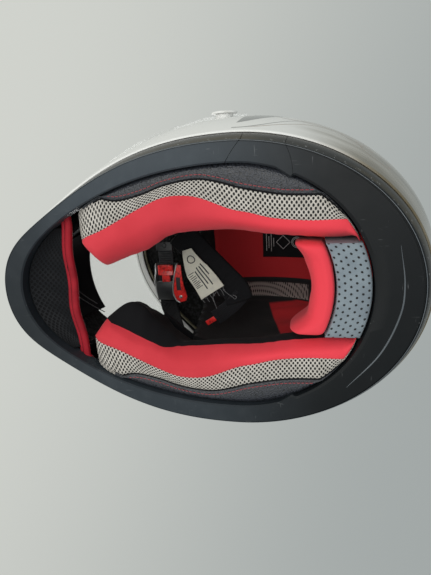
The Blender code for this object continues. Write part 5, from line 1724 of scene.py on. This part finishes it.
def make_buckle():
    """Ratchet buckle: a bent steel channel in a dark casing, with the lever's pins and a rivet."""
    low, high = np.array(BUCKLE_LOW), np.array(BUCKLE_HIGH)
    wall = 0.0016
    x = np.linspace(low[0], high[0], 41)
    t = (x - x.mean()) / (high[0] - low[0]) * 2
    bow = 0.0016 * t**2
    floor = np.stack([x, 0 * x + BUCKLE_MIDDLE_Y, high[2] - wall / 2 - bow * 0.3], -1)
    parts = [tube(floor, rounded_bar(high[1] - low[1], wall, 0.0006))]
    drop = 0.0030 + 0.0066 * (1 - np.abs(t) ** 3) * (0.7 + 0.3 * (t < 0.4))
    top = high[2] - wall * 0.5 - bow * 0.3
    for y in (low[1] + wall / 2, high[1] - wall / 2):
        outer = np.stack([x, 0 * x + y, top], -1)
        lower = outer - np.stack([0 * x, 0 * x, drop], -1)
        ring = np.stack([outer + [0, wall / 2, 0], lower + [0, wall / 2, 0.0003], lower + [0, wall / 4, 0],
                         lower - [0, wall / 4, 0], lower + [0, -wall / 2, 0.0003], outer - [0, wall / 2, 0]], 1)
        parts.append(Patch(ring, *CAPPED, kind=1))
    cover_x = np.linspace(low[0] + 0.0006, low[0] + 0.021, 24)
    s = np.linspace(0, 1, 24)
    cover_z = low[2] + 0.0050 - 0.0042 * np.sin(np.pi * (0.15 + 0.6 * s))
    cover = np.stack([cover_x, 0 * s + BUCKLE_MIDDLE_Y, cover_z], -1)
    parts.append(tube(cover, rounded_bar(high[1] - low[1] - 2 * wall - 0.0008, 0.0016, 0.0007)))
    piece("buckle_frame", parts, ["black_plastic", "brushed_steel"], "shell", ("buckle_body",))

    pin_low, pin_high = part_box("lever_pin")
    centre = np.array((pin_low + pin_high) / 2)
    pins = []
    for side in (-1, 1):
        place = centre + [0, side * (high[1] - low[1]) / 2, 0]
        pins.append(turned([0.0024, 0.0024, 0.0018, 0.0008], [-0.0002, 0.0004, 0.0009, 0.0011], place,
                           (0, side, 0), 24))
    place = (low[0] + 0.006, BUCKLE_MIDDLE_Y, high[2] - wall - 0.0002)
    pins.append(turned([0.0030, 0.0030, 0.0024, 0.001], [0, 0.0006, 0.0012, 0.0014], place, (0, 0, -1), 28))
    piece("buckle_rivets", pins, ["brushed_steel"])
    refinish("lever_pin", "brushed_steel")
    for word in ("left", "right"):
        refinish("strap_anchor_" + word, "brushed_steel")


def make_pawl_plate():
    """Red plate beside the lever, wider towards its free end, with a dark slot, a rivet and a bright rolled
    edge."""
    path = spline([(-0.0080, -0.0640, 0.1318), (-0.0240, -0.0655, 0.1312), (-0.0380, -0.0650, 0.1316),
                   (-0.0485, -0.0620, 0.1322)], 50)
    s = np.linspace(0, 1, 50)
    half = np.interp(s, (0, 0.35, 0.75, 0.93, 1), (0.0024, 0.0046, 0.0070, 0.0062, 0.0036))
    base = rounded_bar(2.0, 0.0018, 0.0007)
    plate = sweep(path, base[None] * np.stack([half, np.ones(50)], -1)[:, None], (0, 0, 1))
    across = frames_along(path, (0, 0, 1))[1]
    outward = across * np.sign(-across[:, 1:2])
    edge = tube(path + outward * half[:, None] - [0, 0, 0.0004], circle(0.0009, 10), kind=2)
    slot = tube(path[16:34] - [0, 0, 0.0008], rounded_bar(0.0046, 0.0006, 0.0002), kind=1)
    rivet = turned([0.0019, 0.0019, 0.0014, 0.0006], [0.0, 0.0005, 0.0009, 0.0010],
                   tuple(path[42] - [0, 0, 0.0007]), (0, 0, -1), 24, kind=2)
    piece("pawl_plate", [Patch(plate, *CAPPED), edge, slot, rivet],
          ["red_plastic", "black_plastic", "brushed_steel"])


def make_lever():
    """Release lever: a T of moulded red, its wide head dished for the thumb and ribbed at the tip."""
    low, high = np.array(LEVER_LOW), np.array(LEVER_HIGH)
    x = np.linspace(low[0], high[0], 61)
    s = (x - low[0]) / (high[0] - low[0])
    head = smooth(0.46, 0.50, s)
    half = (0.0046 + 0.0040 * head) * (1 - 0.06 * np.abs(2 * s - 1) ** 8)
    half = np.where(s < 0.06, 0.0046 * np.sqrt(np.clip(1 - ((0.06 - s) / 0.07) ** 2, 0.1, 1)), half)
    half = np.where(s > 0.95, 0.0086 * np.sqrt(np.clip(1 - ((s - 0.95) / 0.07) ** 2, 0.2, 1)), half)
    bottom = low[2] + 0.0010 * (1 - head) + 0.0009 * np.sin(np.clip((s - 0.5) / 0.45, 0, 1) * np.pi)
    bottom += 0.00022 * np.sin(s * 110) * (s > 0.72) * (s < 0.94)
    top = np.full(len(x), high[2] - 0.0002)
    a = np.linspace(0, TAU, 28, endpoint=False)
    y = (low[1] + high[1]) / 2 + half[:, None] * signed_power(np.cos(a), 0.45)
    z = (bottom + top)[:, None] / 2 + (top - bottom)[:, None] / 2 * signed_power(np.sin(a), 0.45)
    points = np.stack([np.broadcast_to(x[:, None], y.shape), y, z], -1)
    piece("release_lever", Patch(points, *CAPPED), ["red_plastic"], "buckle_release",
          ("buckle_lever",))


def make_rack():
    """Rack: a slim toothed strap. Its teeth are a saw-tooth wave on the face that the pawl meets."""
    low, high = np.array(RACK_LOW), np.array(RACK_HIGH)
    x = np.linspace(low[0], high[0], 232)
    s = (x - low[0]) / (high[0] - low[0])
    tooth = ((x - low[0]) / 0.0024) % 1.0
    teeth = 0.0007 * tooth * (s < 0.78)
    half = (high[1] - low[1]) / 2 * np.sqrt(np.clip(1 - np.clip(1 - s / 0.06, 0, 1) ** 2, 0.05, 1))
    y0 = (low[1] + high[1]) / 2
    ring = []
    for sign_y, sign_z in ((1, 1), (-1, 1), (-1, -1), (-0.8, -1), (0.8, -1), (1, -1)):
        z = high[2] if sign_z > 0 else low[2] + 0.0008 - (teeth if abs(sign_y) < 1 else 0 * teeth)
        ring.append(np.stack([x, y0 + sign_y * half, z + 0 * x], -1))
    teeth_strip = Patch(np.swapaxes(np.array(ring), 0, 1), *CAPPED)
    t = np.linspace(0, 1, 30)
    guard = np.stack([high[0] - 0.013 + 0.011 * t, 0 * t + y0, low[2] - 0.0006 + 0 * t], -1)
    clip = tube(guard, rounded_bar(0.0185, 0.0028, 0.0011))
    rivet = turned([0.0027, 0.0027, 0.0021, 0.0008], [0, 0.0006, 0.0011, 0.0013],
                   (high[0] - 0.0075, y0, low[2] - 0.0018), (0, 0, -1), 24)
    piece("toothed_rack", [teeth_strip, clip, rivet], ["black_plastic"], "ratchet_rack", ("ratchet_strap",),
          crease=30)


# ---------------------------------------------------------------- stage

def make_camera(scene):
    """Looks up into the helmet from below its left rear, rolled so that the chin is at the left."""
    a, e, roll = VIEW_AZIMUTH, VIEW_ELEVATION, VIEW_ROLL
    back = Vector((math.sin(a) * math.cos(e), -math.cos(a) * math.cos(e), math.sin(e)))
    level = Vector((0, 0, 1)).cross(back).normalized()
    right = level * math.cos(roll) + back.cross(level) * math.sin(roll)
    data = bpy.data.cameras.new("helmet_camera")
    data.lens = VIEW_LENS
    data.clip_start = 0.01
    camera = bpy.data.objects.new("helmet_camera", data)
    turn = Matrix((right, back.cross(right), back)).transposed()
    camera.matrix_world = Matrix.Translation(VIEW_POINT) @ turn.to_4x4()
    scene.collection.objects.link(camera)
    scene.camera = camera


def area_light(name, place, target, size, power, tint=(1.0, 1.0, 1.0)):
    """A round soft light at a place, turned towards a target."""
    data = bpy.data.lights.new(name, "AREA")
    data.shape = "DISK"
    data.size = size
    data.energy = power
    data.color = tint
    lamp = bpy.data.objects.new(name, data)
    lamp.location = place
    lamp.rotation_mode = "QUATERNION"
    lamp.rotation_quaternion = (Vector(target) - Vector(place)).to_track_quat("-Z", "Y")
    bpy.context.scene.collection.objects.link(lamp)


def make_floor():
    """A wide pale floor that shows from above and lets the view from below through."""
    mesh = bpy.data.meshes.new("floor")
    corners = [(x * FLOOR_REACH, y * FLOOR_REACH, FLOOR_Z) for x, y in ((-1, -1), (1, -1), (1, 1), (-1, 1))]
    mesh.from_pydata(corners, [], [(0, 1, 2, 3)])
    f = Finish("floor_paint", rgb("floor"), 0.75)
    tone = f.mix(f.noise(1.6, 3.0), rgb("floor"), rgb("floor_shade"))
    f.set("Base Color", tone)
    clear = f.node("ShaderNodeBsdfTransparent")
    under = f.node("ShaderNodeNewGeometry").outputs["Backfacing"]
    mixed = f.node("ShaderNodeMixShader")
    f.feed(mixed.inputs[0], under)
    f.feed(mixed.inputs[1], f.shader.outputs[0])
    f.feed(mixed.inputs[2], clear.outputs[0])
    f.tree.links.new(mixed.outputs[0], f.tree.nodes["Material Output"].inputs["Surface"])
    mesh.materials.append(f.material)
    floor = bpy.data.objects.new("floor", mesh)
    bpy.context.scene.collection.objects.link(floor)
    floor.visible_shadow = False
    floor.visible_diffuse = False
    floor.visible_glossy = False
    floor.visible_transmission = False


def make_world(scene):
    """A pale grey-green sky, a little darker and warmer towards one low corner."""
    world = bpy.data.worlds.new("studio")
    world.use_nodes = True
    scene.world = world
    tree = world.node_tree
    background = tree.nodes["Background"]
    where = tree.nodes.new("ShaderNodeTexCoord")
    lean = tree.nodes.new("ShaderNodeVectorMath")
    lean.operation = "DOT_PRODUCT"
    lean.inputs[1].default_value = SHADE_DIRECTION
    tree.links.new(where.outputs["Generated"], lean.inputs[0])
    span = tree.nodes.new("ShaderNodeMapRange")
    span.interpolation_type = "SMOOTHSTEP"
    span.inputs["From Min"].default_value = SHADE_START
    span.inputs["From Max"].default_value = SHADE_END
    tree.links.new(lean.outputs["Value"], span.inputs["Value"])
    mix = tree.nodes.new("ShaderNodeMix")
    mix.data_type = "RGBA"
    mix.inputs[6].default_value = (*rgb("sky"), 1.0)
    mix.inputs[7].default_value = (*rgb("sky_shade"), 1.0)
    tree.links.new(span.outputs["Result"], mix.inputs["Factor"])
    tree.links.new(mix.outputs[2], background.inputs["Color"])
    background.inputs["Strength"].default_value = sizes().sky_strength


# ---------------------------------------------------------------- add-on

def tone(title, use, default):
    """A colour property."""
    return bpy.props.FloatVectorProperty(name=title, description=use, default=default, subtype="COLOR", size=3,
                                         min=0.0, max=1.0)


def length(title, use, default):
    """A length property, in metres."""
    return bpy.props.FloatProperty(name=title, description=use, default=default, unit="LENGTH", subtype="DISTANCE",
                                   precision=5)


class HelmetColors(bpy.types.PropertyGroup):
    """Colours that a user would change"""
    white_paint: tone("White paint", "Main colour of the shell", (0.86, 0.86, 0.85))
    silver_paint: tone("Silver paint", "Wide band on each side", (0.15, 0.16, 0.165))
    taupe_paint: tone("Taupe paint", "Sweeping lines on each side", (0.24, 0.16, 0.10))
    champagne: tone("Champagne paint", "Shading at the rear", (0.24, 0.20, 0.13))
    olive_paint: tone("Olive paint", "Darker streaks at the rear", (0.10, 0.080, 0.042))
    silver_light: tone("Light silver", "Rear end of the band", (0.36, 0.38, 0.385))
    khaki: tone("Khaki", "Film on the rubber strip", (0.13, 0.115, 0.070))
    khaki_dark: tone("Dark khaki", "Streaks on glossy edges", (0.040, 0.034, 0.020))
    bevel: tone("Bevel", "Polished edge of the trim", (0.008, 0.008, 0.008))
    # Also the painted highlight along the rear ridge
    edge_line: tone("Edge line", "Worn line on the trim", (0.26, 0.28, 0.30))
    # Painted shade on the red cloth, higher up towards the lip
    red_shaded: tone("Deep red", "Red cloth towards the lip", (0.36, 0.016, 0.026))
    piping: tone("Piping", "Rolled edge of the curtain", (0.36, 0.012, 0.024))
    piping_dark: tone("Dark piping", "Shade of the rolled edge", (0.22, 0.007, 0.015))
    dark_line: tone("Dark line", "Thin line under the band", (0.06, 0.06, 0.06))
    trim: tone("Trim", "Moulded base trim", (0.044, 0.056, 0.069))
    # Painted shade on the trim towards the rear
    trim_shaded: tone("Dark trim", "The trim towards the rear", (0.0055, 0.0070, 0.0085))
    trim_haze: tone("Trim haze", "Pale haze on the trim", (0.068, 0.082, 0.097))
    scuff: tone("Scuff", "Light scratches on the trim", (0.25, 0.26, 0.27))
    # Painted shade: the leatherette's colour in its creases
    leather: tone("Leather", "Creases of the leatherette", (0.006, 0.007, 0.009))
    # Painted highlight: the leatherette's colour on its raised pebbles
    leather_lit: tone("Leather high", "Raised pebbles of the leatherette", (0.032, 0.036, 0.048))
    beige_mesh: tone("Beige mesh", "Ribs of the spacer mesh", (0.62, 0.585, 0.54))
    dull_mesh: tone("Dull mesh", "Mesh strips of the crown lining", (0.26, 0.215, 0.20))
    beige_shade: tone("Beige shade", "Darker ribs of the spacer mesh", (0.49, 0.46, 0.42))
    mesh_hole: tone("Mesh hole", "Inside of the holes", (0.008, 0.008, 0.009))
    mesh_rib: tone("Mesh rib", "Ribs of the black air mesh", (0.008, 0.009, 0.011))
    red_cloth: tone("Red cloth", "Stretch cloth of pads and roll", (0.60, 0.027, 0.043))
    red_worn: tone("Red worn", "Paler red where it is rubbed", (0.68, 0.038, 0.058))
    # Painted highlight on the red cloth towards the rear, and the lighter tips of its nap
    red_lit: tone("Red high", "Tips of the nap", (0.95, 0.055, 0.085))
    red_dark: tone("Red dark", "Shade of red thread and plastic", (0.35, 0.015, 0.02))
    red_thread: tone("Red thread", "Stitches on the leather", (0.30, 0.075, 0.095))
    grey_panel: tone("Grey panel", "Neck panel", (0.24, 0.29, 0.33))
    grey_shade: tone("Grey shade", "Shade of the neck panel", (0.19, 0.23, 0.27))
    grey_thread: tone("Grey thread", "Loose thread ends", (0.25, 0.25, 0.26))
    crown_red: tone("Crown red", "Lining of the crown", (0.44, 0.010, 0.014))
    crown_high: tone("Crown high", "Nap of the crown lining", (0.62, 0.03, 0.04))
    black_cloth: tone("Black cloth", "Brushed black lining", (0.006, 0.006, 0.007))
    black_high: tone("Black high", "Nap of the black lining", (0.012, 0.012, 0.014))
    black_plastic: tone("Black plastic", "Moulded black parts", (0.022, 0.023, 0.026))
    plastic_haze: tone("Plastic haze", "Haze on black parts", (0.06, 0.062, 0.068))
    webbing: tone("Webbing", "Woven strap", (0.006, 0.006, 0.008))
    # Painted highlight on the webbing's raised ribs; also a random tone of the loose grey threads
    webbing_high: tone("Webbing high", "Raised ribs of the strap", (0.018, 0.018, 0.021))
    white_cloth: tone("White cloth", "Care tag", (0.72, 0.70, 0.60))
    cloth_shade: tone("Cloth shade", "Wear on the care tag", (0.50, 0.49, 0.45))
    ink: tone("Ink", "Marks on the care tag", (0.04, 0.04, 0.045))
    ink_worn: tone("Worn ink", "Rubbed marks", (0.16, 0.16, 0.16))
    label_thread: tone("Label thread", "Marks on the crown label", (0.55, 0.55, 0.55))
    steel: tone("Steel", "Brushed steel", (0.62, 0.62, 0.63))
    steel_shade: tone("Steel shade", "Brush lines", (0.40, 0.40, 0.41))
    red_plastic: tone("Red plastic", "Lever and tabs", (0.95, 0.035, 0.030))
    rubber: tone("Rubber", "Gasket of the eye port", (0.035, 0.034, 0.028))
    rubber_dust: tone("Rubber dust", "Dust on the gasket", (0.13, 0.12, 0.09))
    # Painted shade: the foam's colour in the creases between beads
    foam: tone("Foam", "Creases of the foam beads", (0.006, 0.006, 0.006))
    # Painted highlight: the foam's colour on the beads
    foam_lit: tone("Foam high", "Beads of the foam", (0.014, 0.014, 0.015))
    visor: tone("Visor", "Clear shield", (1.0, 1.0, 0.99))
    floor: tone("Floor", "Stage floor", (0.62, 0.63, 0.60))
    floor_shade: tone("Floor shade", "Slow change over the floor", (0.58, 0.59, 0.56))
    sky: tone("Sky", "Stage background", (0.635, 0.650, 0.610))
    sky_shade: tone("Sky shade", "Darker side of the background", (0.36, 0.39, 0.385))


class HelmetSizes(bpy.types.PropertyGroup):
    """Sizes and lights that a user would change"""
    mesh_pitch: length("Mesh pitch", "Distance between holes along a row", 0.0034)
    mesh_rows: length("Mesh rows", "Distance between rows of holes", 0.0016)
    mesh_hole: length("Mesh hole", "Radius of a hole", 0.00082)
    panel_pitch: length("Panel pitch", "Distance between holes of the neck panel", 0.0054)
    panel_rows: length("Panel rows", "Distance between rows of the neck panel", 0.0041)
    panel_hole: length("Panel hole", "Radius of a hole of the neck panel", 0.0009)
    curtain_pitch: length("Curtain pitch", "Width of a diamond of the air mesh", 0.0034)
    web_pitch: length("Webbing pitch", "Width of a rib of the webbing", 0.0016)
    stitch_pitch: length("Stitch pitch", "Distance between stitches", 0.0032)
    stitch_length: length("Stitch length", "Length of one stitch", 0.0022)
    stitch_inset: length("Stitch inset", "From the leather's seam to the stitches", 0.0031)
    sky_strength: bpy.props.FloatProperty(name="Sky strength", description="Brightness of the background",
                                          default=1.0, min=0.0)
    key_power: bpy.props.FloatProperty(name="Key light", description="Power of the light from below",
                                       default=7.0, min=0.0, unit="POWER")
    top_power: bpy.props.FloatProperty(name="Top light", description="Power of the light from above",
                                       default=10.0, min=0.0, unit="POWER")


def done(*makers):
    """Calls each maker in turn and gives an operator's answer."""
    for maker in makers:
        maker()
    return {"FINISHED"}


class HELMET_OT_stage(bpy.types.Operator):
    """Makes the camera, lights, floor and background"""
    bl_idname = "helmet.stage"
    bl_label = "Stage"

    def execute(self, context):
        make_camera(context.scene)
        make_world(context.scene)
        make_floor()
        area_light("key_below", (0.30, -0.10, -1.00), (0, 0.02, 0.05), 1.1, sizes().key_power, (1.0, 0.99, 0.97))
        area_light("soft_above", (-0.7, -0.5, 1.4), (0, 0, 0.1), 1.2, sizes().top_power)
        context.scene.view_settings.view_transform = "Standard"
        return {"FINISHED"}


class HELMET_OT_shell(bpy.types.Operator):
    """Makes the painted shell and the gasket round its eye port"""
    bl_idname = "helmet.shell"
    bl_label = "Shell"

    def execute(self, context):
        return done(make_shell, make_port_gasket)


class HELMET_OT_visor(bpy.types.Operator):
    """Makes the clear shield, its tab and its pivot caps"""
    bl_idname = "helmet.visor"
    bl_label = "Visor"

    def execute(self, context):
        return done(make_visor, make_visor_tab, make_pivot_caps)


class HELMET_OT_vents(bpy.types.Operator):
    """Makes the vents, their shutters and the rear exhaust"""
    bl_idname = "helmet.vents"
    bl_label = "Vents"

    def execute(self, context):
        return done(make_vents)


class HELMET_OT_trim(bpy.types.Operator):
    """Makes the base trim and its access cover"""
    bl_idname = "helmet.trim"
    bl_label = "Base trim"

    def execute(self, context):
        return done(make_trim_ring)


class HELMET_OT_pads(bpy.types.Operator):
    """Makes the cheek pads, the neck roll and the neck panel"""
    bl_idname = "helmet.pads"
    bl_label = "Pads"

    def execute(self, context):
        return done(make_cheek_pads, make_neck_roll, make_neck_panel)


class HELMET_OT_curtain(bpy.types.Operator):
    """Makes the chin curtain, its piping and the breath guard"""
    bl_idname = "helmet.curtain"
    bl_label = "Chin curtain"

    def execute(self, context):
        return done(make_chin_curtain, make_piping, make_breath_guard)


class HELMET_OT_linings(bpy.types.Operator):
    """Makes the crown lining and its label, and finishes the foam liners"""
    bl_idname = "helmet.linings"
    bl_label = "Linings"

    def execute(self, context):
        return done(make_crown_lining, make_crown_label, make_foam_liners)


class HELMET_OT_straps(bpy.types.Operator):
    """Makes the chin straps, the padded sleeve and the care tag"""
    bl_idname = "helmet.straps"
    bl_label = "Straps"

    def execute(self, context):
        return done(make_straps, make_sleeve, make_care_tag)


class HELMET_OT_buckle(bpy.types.Operator):
    """Makes the ratchet buckle, its release lever and the toothed rack"""
    bl_idname = "helmet.buckle"
    bl_label = "Buckle"

    def execute(self, context):
        return done(make_buckle, make_pawl_plate, make_lever, make_rack)


STEPS = (HELMET_OT_stage, HELMET_OT_shell, HELMET_OT_visor, HELMET_OT_vents, HELMET_OT_trim, HELMET_OT_pads,
         HELMET_OT_curtain, HELMET_OT_linings, HELMET_OT_straps, HELMET_OT_buckle)


class HELMET_PT_panel(bpy.types.Panel):
    """Lists the helmet's pieces in the sidebar"""
    bl_idname = "HELMET_PT_panel"
    bl_label = "Motorcycle helmet"
    bl_space_type = "VIEW_3D"
    bl_region_type = "UI"
    bl_category = "Helmet"

    def draw(self, context):
        for step in STEPS:
            self.layout.operator(step.bl_idname)


CLASSES = (HelmetColors, HelmetSizes, *STEPS, HELMET_PT_panel)


def register():
    """Registers the classes and hangs both property groups on the scene."""
    for cls in CLASSES:
        bpy.utils.register_class(cls)
    bpy.types.Scene.helmet_colors = bpy.props.PointerProperty(type=HelmetColors)
    bpy.types.Scene.helmet_sizes = bpy.props.PointerProperty(type=HelmetSizes)


def unregister():
    """Undoes register, in reverse."""
    del bpy.types.Scene.helmet_sizes
    del bpy.types.Scene.helmet_colors
    for cls in reversed(CLASSES):
        bpy.utils.unregister_class(cls)


def main():
    """Registers the add-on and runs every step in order."""
    register()
    for step in STEPS:
        group, name = step.bl_idname.split(".")
        getattr(getattr(bpy.ops, group), name)()
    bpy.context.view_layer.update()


if __name__ == "__main__":
    main()
